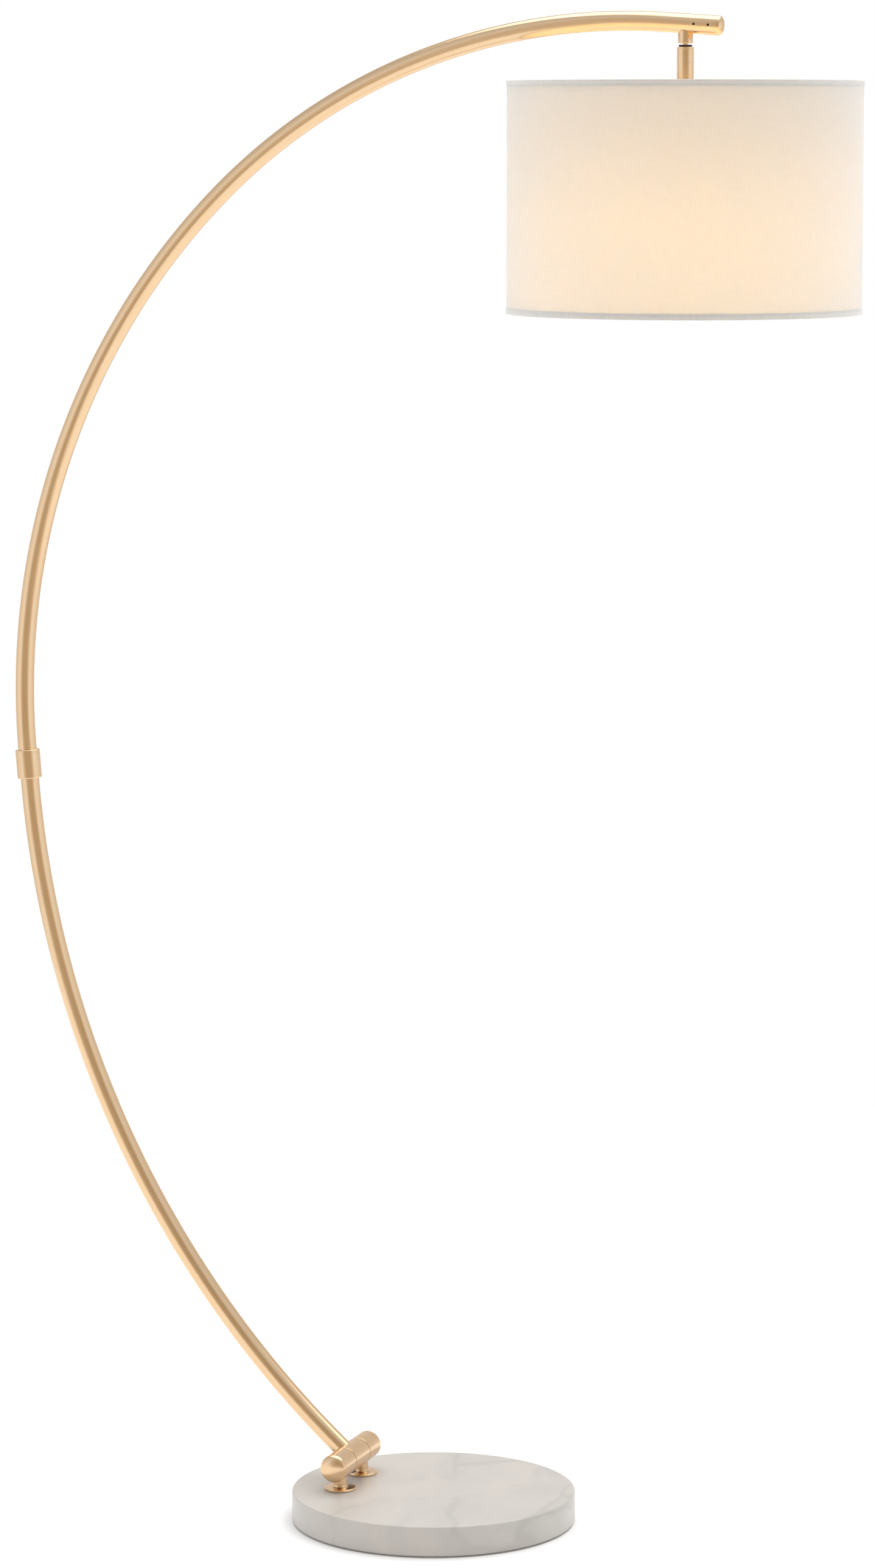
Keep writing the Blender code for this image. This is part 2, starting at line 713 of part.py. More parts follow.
STEM_POINT = arm_point(STEM_AT)[0]
NECK_SPIGOT_TOP = TUBE_BORE * 0.45
NECK_END = STEM_POINT.z - TUBE_RADIUS - NECK_LENGTH
BALL_CENTRE = Vector((STEM_POINT.x, 0, NECK_END + BALL_ABOVE_NECK_END))
BALL_CAVITY = BALL_DIAMETER / 2 + RUNNING
WASHER_TOP = NECK_END - SWIVEL_GAP
STEM_FLANGE_TOP = WASHER_TOP - SWIVEL_WASHER - GAP
SWIVEL_NUT_TOP = STEM_FLANGE_TOP - PLUG_FLANGE - PLUG_SPIGOT - GAP
SHANK_END = SWIVEL_NUT_TOP - SWIVEL_NUT - 1 * MM
SHADE_TOP = STEM_POINT.z - SHADE_DROP
SHADE_BOTTOM = SHADE_TOP - SHADE_HEIGHT
SHADE_AXIS = Vector((STEM_POINT.x, 0, 0))
LEAD_BORE = LEAD_DIAMETER / 2 + RUNNING


def arc(radius, first, last, count):
    """(radius, height) points on a circle about the origin, angles from the top."""
    angles = (first + (last - first) * index / count for index in range(count + 1))
    return [(radius * sin(a), radius * cos(a)) for a in angles]


def make_hanger():
    outer = NECK_DIAMETER / 2
    spigot = NECK_SPIGOT_DIAMETER / 2
    bottom = NECK_END - BALL_CENTRE.z
    top = STEM_POINT.z + NECK_SPIGOT_TOP - BALL_CENTRE.z
    shoulder = STEM_POINT.z - TUBE_RADIUS * 0.7 - BALL_CENTRE.z
    lead = LEAD_DIAMETER / 2 + NECK_LEAD_PLAY
    roof = arc(BALL_CAVITY, pi / 2, asin(lead / BALL_CAVITY), 6)
    profile = [(BALL_CAVITY, bottom)] + roof
    profile += [(lead, top), (spigot, top), (spigot, shoulder), (outer, shoulder), (outer, bottom)]
    neck = turned("hanger_neck", profile, BALL_CENTRE, UP, BRASS, closed=True)
    _, along = arm_point(STEM_AT)
    reach = along * NECK_DIAMETER
    collar_only = cutter("neck_tube_clear", TUBE_RADIUS + GAP, STEM_POINT - reach, STEM_POINT + reach)
    spare = ring(
        "neck_skirt",
        spigot + RUNNING,
        outer + CUT_OVER,
        bottom + 1 * MM,
        top + CUT_OVER,
        BALL_CENTRE,
        UP,
        None,
    )
    hide_as_tool(spare)
    combine(spare, collar_only, "INTERSECT")
    cut(neck, spare)
    inlet_side = STEM_POINT - along * TUBE_DIAMETER
    cut(neck, cutter("neck_lead_way", lead, inlet_side, STEM_POINT))


def make_retainer():
    outer = BALL_CAVITY - RUNNING
    bottom = NECK_END - BALL_CENTRE.z
    top = bottom + RETAINER_HEIGHT
    throat = SHANK_DIAMETER / 2 + RETAINER_THROAT
    seat_first = asin(sqrt(BALL_CAVITY**2 - top**2) / BALL_CAVITY)
    seat_last = asin(throat / BALL_CAVITY)
    seat = arc(BALL_CAVITY, pi - seat_last, pi - seat_first, 4)
    mouth = SHANK_DIAMETER / 2 + RETAINER_MOUTH
    profile = seat + [(outer, top), (outer, bottom), (mouth, bottom)]
    turned("ball_retainer", profile, BALL_CENTRE, UP, BRASS, closed=True)


def make_swivel():
    ball = BALL_DIAMETER / 2
    shank = SHANK_DIAMETER / 2
    end = SHANK_END - BALL_CENTRE.z
    neck_angle = pi - asin(shank / ball)
    first = asin(LEAD_BORE / ball)
    profile = arc(ball, first, neck_angle, 8) + [(shank, end), (LEAD_BORE, end)]
    turned("swivel_ball", profile, BALL_CENTRE, UP, BRASS, closed=True)
    centre = SHADE_AXIS
    hole = shank + RUNNING
    low = WASHER_TOP - SWIVEL_WASHER
    ring("swivel_washer", hole, SWIVEL_WASHER_DIAMETER / 2, low, WASHER_TOP, centre, UP, NYLON)
    hexagon = rod_mesh("swivel_nut", SWIVEL_NUT_DIAMETER / 2, SWIVEL_NUT, 6)
    nut = node_from_mesh("swivel_nut", hexagon, STEEL)
    nut_low = SHADE_AXIS + UP * (SWIVEL_NUT_TOP - SWIVEL_NUT)
    place(nut, nut_low, UP)
    cut(nut, cutter("nut_thread", hole, nut_low - UP * CUT_OVER, nut_low + UP * (SWIVEL_NUT + CUT_OVER)))


# ---------------------------------------------------------------- stem and lampholder

STEM_TOP = STEM_FLANGE_TOP - PLUG_FLANGE - GAP
STEM_BOTTOM = SHADE_TOP - STEM_IN_SHADE
HOLDER_CAP_TOP = STEM_BOTTOM - GAP - PLUG_FLANGE - GAP
HOLDER_CAP_BOTTOM = HOLDER_CAP_TOP - HOLDER_CAP_HEIGHT
HOLDER_TOP = HOLDER_CAP_TOP - HOLDER_CAP_WALL - NIPPLE_BELOW_CAP - GAP
HOLDER_BOTTOM = HOLDER_TOP - HOLDER_LENGTH
HUB_TOP = HOLDER_CAP_BOTTOM - GAP
HOLDER_BORE = BULB_CAP_DIAMETER / 2 + 2 * RUNNING + SCREW_SLEEVE_WALL + RUNNING


def make_stem():
    outer = STEM_DIAMETER / 2
    inner = outer - STEM_WALL
    spigot = inner - RUNNING
    ring("stem_tube", inner, outer, STEM_BOTTOM, STEM_TOP, SHADE_AXIS, UP, BRASS)
    hole = SHANK_DIAMETER / 2 + RUNNING
    top, low = STEM_FLANGE_TOP, STEM_FLANGE_TOP - PLUG_FLANGE
    edge = EDGE
    top_plug = [
        (hole, top),
        (outer - edge, top),
        (outer, top - edge),
        (outer, low),
        (spigot, low),
        (spigot, low - PLUG_SPIGOT),
        (hole, low - PLUG_SPIGOT),
    ]
    turned("stem_top_plug", top_plug, SHADE_AXIS, UP, BRASS, closed=True)
    hole = NIPPLE_DIAMETER / 2 + RUNNING
    high = STEM_BOTTOM - GAP
    bottom_plug = [
        (hole, high + PLUG_SPIGOT),
        (spigot, high + PLUG_SPIGOT),
        (spigot, high),
        (outer, high),
        (outer, high - PLUG_FLANGE),
        (hole, high - PLUG_FLANGE),
    ]
    turned("stem_bottom_plug", bottom_plug, SHADE_AXIS, UP, BRASS, closed=True)
    nipple_low = HOLDER_CAP_TOP - HOLDER_CAP_WALL - NIPPLE_BELOW_CAP
    nipple_high = high + PLUG_SPIGOT + NIPPLE_ABOVE_PLUG
    thread = NIPPLE_DIAMETER / 2
    bore = thread - NIPPLE_WALL
    ring("holder_nipple", bore, thread, nipple_low, nipple_high, SHADE_AXIS, UP, STEEL, SMALL_STEPS)


def make_holder():
    outer = HOLDER_CAP_DIAMETER / 2
    inner = outer - HOLDER_CAP_WALL
    hole = NIPPLE_DIAMETER / 2 + RUNNING
    top, low = HOLDER_CAP_TOP, HOLDER_CAP_BOTTOM
    edge = HOLDER_EDGE
    cup = [
        (hole, top),
        (outer - edge, top),
        (outer, top - edge),
        (outer, low),
        (inner, low),
        (inner, top - edge),
        (inner - edge + HOLDER_CAP_WALL, top - HOLDER_CAP_WALL),
        (hole, top - HOLDER_CAP_WALL),
    ]
    turned("holder_cap", cup, SHADE_AXIS, UP, BRASS, closed=True)
    body = HOLDER_DIAMETER / 2
    roof = HOLDER_TOP - HOLDER_ROOF
    shell = [
        (LEAD_BORE, HOLDER_TOP),
        (body - edge, HOLDER_TOP),
        (body, HOLDER_TOP - edge),
        (body, HOLDER_BOTTOM),
        (HOLDER_BORE, HOLDER_BOTTOM),
        (HOLDER_BORE, roof),
        (LEAD_BORE, roof),
    ]
    turned("holder_body", shell, SHADE_AXIS, UP, PHENOLIC, closed=True)
    sleeve_outer = HOLDER_BORE - RUNNING
    sleeve_inner = sleeve_outer - SCREW_SLEEVE_WALL
    sleeve_low = HOLDER_BOTTOM + SCREW_SLEEVE_INSET
    sleeve_high = sleeve_low + SCREW_SLEEVE_LENGTH
    ring("screw_sleeve", sleeve_inner, sleeve_outer, sleeve_low, sleeve_high, SHADE_AXIS, UP, BRASS)
    contact_top = roof - GAP
    contact_low = contact_top - CONTACT_HEIGHT
    contact = CONTACT_DIAMETER / 2
    ring("centre_contact", LEAD_BORE, contact, contact_low, contact_top, SHADE_AXIS, UP, BRASS, SMALL_STEPS)
    thread = HOLDER_DIAMETER / 2 + RUNNING
    ring_top = HUB_TOP - HUB_THICKNESS - GAP
    ring_low = ring_top - FITTER_RING_HEIGHT
    rim = FITTER_RING_DIAMETER / 2
    edge = FITTER_RING_EDGE
    fitter = [
        (thread, ring_top),
        (rim - edge, ring_top),
        (rim, ring_top - edge),
        (rim, ring_low + edge),
        (rim - edge, ring_low),
        (thread, ring_low),
    ]
    turned("shade_ring_nut", fitter, SHADE_AXIS, UP, PHENOLIC, closed=True)


# ---------------------------------------------------------------- bulb

BULB_TOP = HOLDER_TOP - HOLDER_ROOF - GAP - CONTACT_HEIGHT - GAP
BULB_CAP_BOTTOM = BULB_TOP - BULB_CAP_LENGTH
BULB_BOTTOM = BULB_TOP - BULB_LENGTH


def bulb_side(inset):
    """(radius, height) points down the bulb from its neck to its lowest point, this far inside."""
    globe = BULB_DIAMETER / 2
    centre = BULB_BOTTOM + globe
    neck = BULB_NECK_DIAMETER / 2
    neck_low = BULB_CAP_BOTTOM - BULB_NECK_LENGTH
    points = [(neck - inset, BULB_CAP_BOTTOM + BULB_IN_CAP), (neck - inset, neck_low)]
    join = radians(BULB_JOIN)
    joint_radius = globe * sin(join)
    joint_height = centre + globe * cos(join)
    flare = ((0.30, 0.10), (0.62, 0.45))
    for down, out in flare:
        radius = neck + (joint_radius - neck) * out
        height = neck_low + (joint_height - neck_low) * down
        points.append((radius - inset, height))
    stations = 7
    for index in range(stations + 1):
        angle = join + (pi - join) * index / stations
        points.append(((globe - inset) * sin(angle), centre + (globe - inset) * cos(angle)))
    points[-1] = (0, BULB_BOTTOM + inset)
    return points


def make_bulb():
    outside = bulb_side(0)
    inside = bulb_side(BULB_GLASS)
    turned("bulb_glass", inside[::-1] + outside, SHADE_AXIS, UP, GLASS)
    cap = BULB_CAP_DIAMETER / 2
    button = CONTACT_DIAMETER / 2
    shoulder = BULB_TOP - BULB_IN_CAP
    profile = [(0, BULB_TOP), (button, BULB_TOP), (cap - BULB_IN_CAP, shoulder)]
    for index in range(BULB_THREAD_TURNS):
        crest = shoulder - 2 * MM - index * BULB_THREAD_PITCH
        profile += [(cap, crest), (cap - BULB_THREAD_DEPTH, crest - BULB_THREAD_PITCH / 2)]
    neck = BULB_NECK_DIAMETER / 2 - BULB_GLASS - RUNNING
    rim = BULB_CAP_BOTTOM + BULB_IN_CAP + GAP
    profile += [(cap - EDGE, rim), (neck, rim), (neck, BULB_CAP_BOTTOM), (0, BULB_CAP_BOTTOM)]
    turned("bulb_screw_cap", profile, SHADE_AXIS, UP, STEEL)


# ---------------------------------------------------------------- shade

DRUM_OUTER = SHADE_DIAMETER / 2 - HEM_THICKNESS - GAP
DRUM_INNER = DRUM_OUTER - SHADE_WALL
WIRE_RADIUS = DRUM_INNER - GAP - WIRE_DIAMETER / 2


def make_hem(name, rim, inwards):
    """A folded strip over one rim of the drum. inwards is -1 at the top rim and 1 at the bottom."""
    out_far = SHADE_DIAMETER / 2
    out_near = DRUM_OUTER + GAP
    in_near = DRUM_INNER - GAP
    in_far = in_near - HEM_THICKNESS
    edge = rim + inwards * HEM_THICKNESS
    profile = [
        (in_far, rim),
        (out_far, rim),
        (out_far, rim + inwards * HEM_OUTSIDE),
        (out_near, rim + inwards * HEM_OUTSIDE),
        (out_near, edge),
        (in_near, edge),
        (in_near, rim + inwards * HEM_INSIDE),
        (in_far, rim + inwards * HEM_INSIDE),
    ]
    if inwards > 0:
        profile.reverse()
    return turned(name, profile, SHADE_AXIS, UP, LINEN, closed=True, steps=BIG_STEPS)


def torus_mesh(name, radius, thickness, steps, sides):
    circle = [
        (radius + thickness / 2 * sin(2 * pi * i / sides), thickness / 2 * cos(2 * pi * i / sides))
        for i in range(sides)
    ]
    return turned(name, circle, SHADE_AXIS, UP, STEEL, closed=True, steps=steps)


def make_spider():
    """The hub, the arms and the top wire ring are welded into one frame."""
    bore = HOLDER_DIAMETER / 2 + RUNNING
    rim = FITTER_RING_DIAMETER / 2
    hub_low = HUB_TOP - HUB_THICKNESS
    frame = ring("shade_spider", bore, rim, hub_low, HUB_TOP, SHADE_AXIS, UP, STEEL)
    top = torus_mesh("spider_ring", WIRE_RADIUS, WIRE_DIAMETER, BIG_STEPS, 8)
    top.location.z = SHADE_TOP - WIRE_INSET
    hide_as_tool(top)
    combine(frame, top, "UNION")
    arm_diameter = WIRE_DIAMETER * ARM_SLIMMER
    arm_height = hub_low + arm_diameter / 2 + ARM_SEAT
    for index in range(SPIDER_ARMS):
        angle = 2 * pi * index / SPIDER_ARMS + pi / 2
        out = Vector((cos(angle), sin(angle), 0))
        inner = SHADE_AXIS + out * (rim - ARM_LAP) + UP * arm_height
        knee = SHADE_AXIS + out * (rim + ARM_KNEE) + UP * arm_height
        outer = SHADE_AXIS + out * WIRE_RADIUS + UP * (SHADE_TOP - WIRE_INSET)
        arm = wire(f"spider_arm_{index}", [inner, knee, outer], arm_diameter, STEEL)
        hide_as_tool(arm)
        combine(frame, arm, "UNION")


def make_shade():
    low = SHADE_BOTTOM + HEM_THICKNESS + GAP
    high = SHADE_TOP - HEM_THICKNESS - GAP
    ring("shade_drum", DRUM_INNER, DRUM_OUTER, low, high, SHADE_AXIS, UP, LINEN, BIG_STEPS)
    make_hem("shade_top_hem", SHADE_TOP, -1)
    make_hem("shade_bottom_hem", SHADE_BOTTOM, 1)
    bottom = torus_mesh("shade_bottom_wire", WIRE_RADIUS, WIRE_DIAMETER, BIG_STEPS, 8)
    bottom.location.z = SHADE_BOTTOM + WIRE_INSET
    make_spider()


# ---------------------------------------------------------------- leads


def make_leads():
    start = SOCKET_FLOOR + 2 * MM
    mesh = arm_curve("arm_lead", start, STEM_AT - TUBE_RADIUS, LEAD_DIAMETER / 2, 8, filled=True)
    node_from_mesh("arm_lead", mesh, PVC)
    low = HOLDER_TOP + 1.5 * MM
    high = BALL_CENTRE.z + BALL_DIAMETER / 2 - 2 * MM
    ends = [SHADE_AXIS + UP * height for height in (low, (low + high) / 2, high)]
    wire("stem_lead", ends, LEAD_DIAMETER, PVC)


make_base()
for foot in SIDES:
    make_foot(foot)
    make_end_knuckle(foot)
make_centre_knuckle()
make_arm()
make_end_plug()
make_hanger()
make_retainer()
make_swivel()
make_stem()
make_holder()
make_bulb()
make_shade()
make_leads()
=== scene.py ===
"""Arc floor lamp: the finished surfaces of the lamp, laid out as an add-on.

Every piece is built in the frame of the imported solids: metres, +Z up, the origin under the middle of
the base, the arm in the XZ plane and the hinge along Y. The sidebar panel lists one operator for
each piece or group of like pieces, and one for the studio.
"""

import json
from functools import wraps
from math import asin, cos, floor, pi, radians, sin, tan

import bmesh
import bpy
from bpy.props import FloatProperty, FloatVectorProperty, IntProperty, PointerProperty
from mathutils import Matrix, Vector


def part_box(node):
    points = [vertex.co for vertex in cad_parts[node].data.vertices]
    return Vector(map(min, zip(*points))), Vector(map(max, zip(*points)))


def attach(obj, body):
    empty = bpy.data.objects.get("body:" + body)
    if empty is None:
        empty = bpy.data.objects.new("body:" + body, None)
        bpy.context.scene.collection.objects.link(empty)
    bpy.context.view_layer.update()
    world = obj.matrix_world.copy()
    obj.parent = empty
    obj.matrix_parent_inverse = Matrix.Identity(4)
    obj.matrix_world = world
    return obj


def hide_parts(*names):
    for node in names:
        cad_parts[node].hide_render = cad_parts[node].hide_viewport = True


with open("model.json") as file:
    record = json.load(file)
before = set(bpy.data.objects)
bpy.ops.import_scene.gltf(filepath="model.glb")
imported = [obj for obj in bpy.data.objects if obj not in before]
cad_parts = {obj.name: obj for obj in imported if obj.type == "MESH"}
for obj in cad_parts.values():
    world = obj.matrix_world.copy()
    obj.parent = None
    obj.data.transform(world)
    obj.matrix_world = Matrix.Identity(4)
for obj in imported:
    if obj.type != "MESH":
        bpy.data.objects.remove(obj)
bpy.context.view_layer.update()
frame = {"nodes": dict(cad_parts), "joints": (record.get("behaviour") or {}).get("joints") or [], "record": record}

bl_info = {
    "name": "Arc Floor Lamp",
    "version": (1, 0, 0),
    "blender": (4, 5, 0),
    "location": "View3D > Sidebar > Lamp",
    "description": "Builds the finished surfaces of an arc floor lamp around its solids",
    "category": "Add Mesh",
}

MM = 0.001
UP = Vector((0, 0, 1))
ALONG_Y = Vector((0, 1, 0))
SIDES = {"front": -1, "rear": 1}
FINISH_MAP = "finish"  # a map in metres: its first axis runs along the polishing or the weft
TOUCH = 0.05 * MM  # left between pieces that touch
PLAY = 0.3 * MM  # a shaft in its bore
LEAD_BORE = 2.3 * MM
TINY = 1e-7
SADDLE_STEPS = 96  # round a cutter that leaves a saddle

BODY_OF = {name: body for body, names in frame["record"]["behaviour"]["bodies"].items() for name in names}
JOINT_AT = {joint["name"]: Vector(joint["pos_m"]) for joint in frame["joints"]}
HINGE = JOINT_AT["arm_tilt"]
BALL = JOINT_AT["shade_tilt"]
SHADE_AXIS = Vector((BALL.x, 0, 0))


def linear(code):
    """The linear colour of an sRGB hex value such as #A0B1C2."""
    shares = [int(code[at : at + 2], 16) / 255 for at in (1, 3, 5)]
    return tuple(s / 12.92 if s <= 0.04045 else ((s + 0.055) / 1.055) ** 2.4 for s in shares)


def levels(name):
    """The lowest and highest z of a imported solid."""
    low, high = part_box(name)
    return low.z, high.z


def half_width(name):
    """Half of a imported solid's extent along Y, its radius if it stands upright."""
    low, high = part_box(name)
    return (high.y - low.y) / 2


def half_height(name):
    """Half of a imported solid's extent along Z, its radius if it lies along Y."""
    low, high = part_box(name)
    return (high.z - low.z) / 2


def centre_of(name):
    """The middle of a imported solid's box."""
    low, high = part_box(name)
    return (low + high) / 2


# ---------------------------------------------------------------- the arm's line

TUBE_RADIUS = 12.5 * MM
TUBE_WALL = 2 * MM
START_LEAN = 49.5
LOWER_RADIUS = 1325 * MM
LOWER_SWEEP = 45
COLLAR_STRAIGHT = 40 * MM
UPPER_RADIUS = 935 * MM
UPPER_SWEEP = 50.5
CROWN_RADIUS = 800 * MM
CROWN_SWEEP = 47.9
TIP_STRAIGHT = 70 * MM
SOCKET_FLOOR = 10.5 * MM
STEM_FROM_TUBE_END = 42 * MM

ARM_BENDS = (
    (LOWER_RADIUS, radians(LOWER_SWEEP) * LOWER_RADIUS),
    (None, COLLAR_STRAIGHT),
    (UPPER_RADIUS, radians(UPPER_SWEEP) * UPPER_RADIUS),
    (CROWN_RADIUS, radians(CROWN_SWEEP) * CROWN_RADIUS),
    (None, TIP_STRAIGHT),
)
TUBE_END = sum(length for _, length in ARM_BENDS)
COLLAR_AT = ARM_BENDS[0][1] + COLLAR_STRAIGHT / 2
STEM_AT = TUBE_END - STEM_FROM_TUBE_END


def arm_point(distance):
    """The point and the unit direction of the arm's centre line, this far from the hinge axis."""
    x, z, lean = HINGE.x, HINGE.z, -radians(START_LEAN)
    for radius, length in ARM_BENDS:
        step = min(distance, length)
        if radius is None:
            x += step * sin(lean)
            z += step * cos(lean)
        else:
            turn = step / radius
            x += radius * (cos(lean) - cos(lean + turn))
            z += radius * (sin(lean + turn) - sin(lean))
            lean += turn
        distance -= step
        if distance <= 0:
            break
    return Vector((x, 0, z)), Vector((sin(lean), 0, cos(lean)))


# ---------------------------------------------------------------- settings


def colour_setting(name, description, code):
    """A colour that a user can change, from its hex value."""
    return FloatVectorProperty(name=name, description=description, subtype="COLOR", default=linear(code))


def length_setting(name, description, default):
    """A length in metres that a user can change."""
    return FloatProperty(name=name, description=description, default=default, unit="LENGTH")


class LampShape(bpy.types.PropertyGroup):
    round_steps: IntProperty(
        name="Round steps", description="Facets round a turned piece", default=192, min=24
    )
    tube_step: length_setting("Tube step", "Between two sections of the arm", 15 * MM)
    edge: length_setting("Edge", "Rounding of the machined edges", 0.6 * MM)
    marble_edge: length_setting("Marble edge", "Rounding of the disc's rims", 2.5 * MM)
    shade_wall: length_setting("Shade wall", "Linen and its backing together", 0.7 * MM)
    lap: length_setting("Seam lap", "How far the shade's ends overlap", 9 * MM)
    seam_bearing: FloatProperty(
        name="Seam bearing", description="Where the seam is, about the shade's axis",
        default=radians(100), subtype="ANGLE",
    )


class LampFinish(bpy.types.PropertyGroup):
    gold: colour_setting("Gold", "Plated steel, polished tone", "#EBCDA8")
    gold_deep: colour_setting("Deep gold", "Plated steel, in the satin lines", "#D9B387")
    marble: colour_setting("Marble", "Ground of the stone", "#C4BEB8")
    marble_cloud: colour_setting("Marble cloud", "Clouds in the stone", "#B9B6B1")
    marble_vein: colour_setting("Marble vein", "Veins in the stone", "#A09C99")
    linen: colour_setting("Linen", "Bleached threads", "#DAD8D6")
    linen_thread: colour_setting("Linen slub", "Thicker, darker threads", "#D2CEC9")
    # the hem's linen is set paler than the wall's: painted light, standing in for the lamp glow that the double
    # fold lets through less
    linen_hem: colour_setting("Linen hem", "Strips over the rims", "#ECE9E4")
    bulb_glow: colour_setting("Bulb glow", "Colour of the lit bulb", "#FFE3AE")
    bulb_strength: FloatProperty(
        name="Bulb strength", description="Brightness of the lit bulb", default=165.0
    )


class StudioSettings(bpy.types.PropertyGroup):
    bearing: FloatProperty(
        name="Bearing", description="Camera's turn about the lamp", default=0.32914, subtype="ANGLE"
    )
    distance: length_setting("Distance", "Level distance from the origin", 6.6589)
    side_step: length_setting("Side step", "Camera's shift to the right", 5.3 * MM)
    height: length_setting("Height", "Camera above the floor", 1.86647)
    pitch: FloatProperty(name="Pitch", description="Camera's tilt down", default=0.12999, subtype="ANGLE")
    lens: FloatProperty(name="Lens", description="Focal length in millimetres", default=116.93)
    floor_radius: length_setting("Floor radius", "Half width of the floor", 3.0)
    sky: FloatProperty(name="Sky", description="Strength of the soft box all round", default=0.95)
    sun: FloatProperty(name="Sun", description="Strength of the large overhead light", default=2.1)


# ---------------------------------------------------------------- mesh work


def rounded(corners, closed, segments=5):
    """The line through (across, up, fillet) corners, with each corner rounded by its fillet."""
    points = []
    count = len(corners)
    for index, (across, up, fillet) in enumerate(corners):
        at = Vector((across, up))
        if not fillet or (not closed and index in (0, count - 1)):
            points.append(at)
            continue
        before = Vector(corners[index - 1][:2]) - at
        after = Vector(corners[(index + 1) % count][:2]) - at
        half = before.angle(after) / 2
        reach = min(fillet / tan(half), before.length * 0.48, after.length * 0.48)
        radius = reach * tan(half)
        middle = at + (before.normalized() + after.normalized()).normalized() * (radius / sin(half))
        start = at + before.normalized() * reach - middle
        end = at + after.normalized() * reach - middle
        for step in range(segments + 1):
            share = step / segments
            points.append(middle + start.slerp(end, share).normalized() * radius)
    return points


def skin(name, rows, row_marks, column_marks, material, loop=False, along_rows=False, capped=False):
    """A mesh through rows of points, each closed on itself. A row of one point is a tip.

    The marks are lengths in metres, and become the finish map.
    """
    shape = bmesh.new()
    layer = shape.loops.layers.uv.new(FINISH_MAP)
    made = [[shape.verts.new(point) for point in row] for row in rows]
    for index in range(len(rows) if loop else len(rows) - 1):
        pair = (made[index], made[(index + 1) % len(rows)])
        steps = max(len(pair[0]), len(pair[1]))
        if steps == 1:
            continue
        for column in range(steps):
            ring = {}
            for which, offset in ((0, 0), (0, 1), (1, 1), (1, 0)):
                vert = pair[which][(column + offset) % len(pair[which])]
                mark = (column_marks[column + offset], row_marks[index + which])
                ring.setdefault(vert, mark[::-1] if along_rows else mark)
            face = shape.faces.new(ring)
            for corner, mark in zip(face.loops, ring.values()):
                corner[layer].uv = mark
    if capped:
        shape.faces.new(made[0])
        shape.faces.new(made[-1])
    bmesh.ops.recalc_face_normals(shape, faces=shape.faces)
    mesh = bpy.data.meshes.new(name)
    shape.to_mesh(mesh)
    shape.free()
    piece = bpy.data.objects.new(name, mesh)
    bpy.context.scene.collection.objects.link(piece)
    if material:
        mesh.materials.append(material)
    return polished(piece)


def polished(piece, sharp=40):
    """Smooth shading that keeps the flats flat beside their rounded edges."""
    piece.data.shade_smooth()
    piece.data.set_sharp_from_angle(angle=radians(sharp))
    even = piece.modifiers.new("even_normals", "WEIGHTED_NORMAL")
    even.keep_sharp = True
    return piece


def turned(name, corners, origin, axis, material, closed=True, steps=None, relief=None):
    """A turned piece from (radius, height, fillet) corners. An open outline starts and ends on the axis.

    relief(radius, height, angle) gives the radius of ribs, threads and sockets.
    """
    steps = steps or bpy.context.scene.lamp_shape.round_steps
    outline = rounded(corners, closed)
    turn = axis.to_track_quat("Z", "Y").to_matrix()
    widest = max(point.x for point in outline)
    rows = []
    marks = [0]
    for index, (radius, height) in enumerate(outline):
        after = outline[(index + 1) % len(outline)]
        marks.append(marks[-1] + (after - outline[index]).length)
        if radius < TINY:
            rows.append([origin + turn @ Vector((0, 0, height))])
            continue
        row = []
        for step in range(steps):
            angle = 2 * pi * step / steps
            reach = relief(radius, height, angle) if relief else radius
            row.append(origin + turn @ Vector((reach * cos(angle), reach * sin(angle), height)))
        rows.append(row)
    around = [2 * pi * widest * step / steps for step in range(steps + 1)]
    return skin(name, rows, marks, around, material, loop=closed)


def swept(name, path, radius, material, sides=16, ring=False):
    """A round wire along a list of points, closed into a ring or capped at its ends."""
    rows = []
    marks = [0]
    count = len(path)
    across = None
    for index, point in enumerate(path):
        before = path[index - 1] if index or ring else point
        after = path[(index + 1) % count] if index < count - 1 or ring else point
        along = (after - before).normalized()
        across = across or (UP if abs(along.z) < 0.9 else Vector((1, 0, 0)))
        across = (across - along * across.dot(along)).normalized()
        other = along.cross(across)
        angles = [2 * pi * side / sides for side in range(sides)]
        rows.append([point + across * (radius * cos(a)) + other * (radius * sin(a)) for a in angles])
        marks.append(marks[-1] + (path[(index + 1) % count] - point).length)
    around = [2 * pi * radius * side / sides for side in range(sides + 1)]
    return skin(name, rows, marks, around, material, loop=ring, along_rows=True, capped=not ring)


def ring_outline(bore, rim, high, low, inner=0, outer=0):
    """The corners of a washer or a sleeve, with their fillets. A disc has no bore."""
    return [(bore, high, inner), (rim, high, outer), (rim, low, outer), (bore, low, inner)]


def rod(start, end, radius, steps=48):
    """A round cutter between two points."""
    way = end - start
    corners = ring_outline(0, radius, 0, way.length)
    return turned("cutter", corners, start, way.normalized(), None, closed=False, steps=steps)


def combined(piece, others, operation):
    """The piece with the others cut away or joined on. The others are used up."""
    for other in others:
        step = piece.modifiers.new(operation.lower(), "BOOLEAN")
        step.operation = operation
        step.object = other
    graph = bpy.context.evaluated_depsgraph_get()
    even = piece.modifiers["even_normals"]
    piece.modifiers.remove(even)
    graph.update()
    mesh = bpy.data.meshes.new_from_object(piece.evaluated_get(graph))
    mesh.name = piece.name
    piece.modifiers.clear()
    piece.data = mesh
    for other in others:
        bpy.data.objects.remove(other, do_unlink=True)
    return polished(piece)


def settle(piece, *nodes):
    """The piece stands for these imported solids, and moves and is finished as the first of them."""
    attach(piece, BODY_OF[nodes[0]])
    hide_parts(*nodes)
    return piece


def dress(material, *nodes):
    """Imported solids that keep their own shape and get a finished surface."""
    for name in nodes:
        solid = frame["nodes"][name]
        solid.data.materials.clear()
        solid.data.materials.append(material)


# ---------------------------------------------------------------- materials


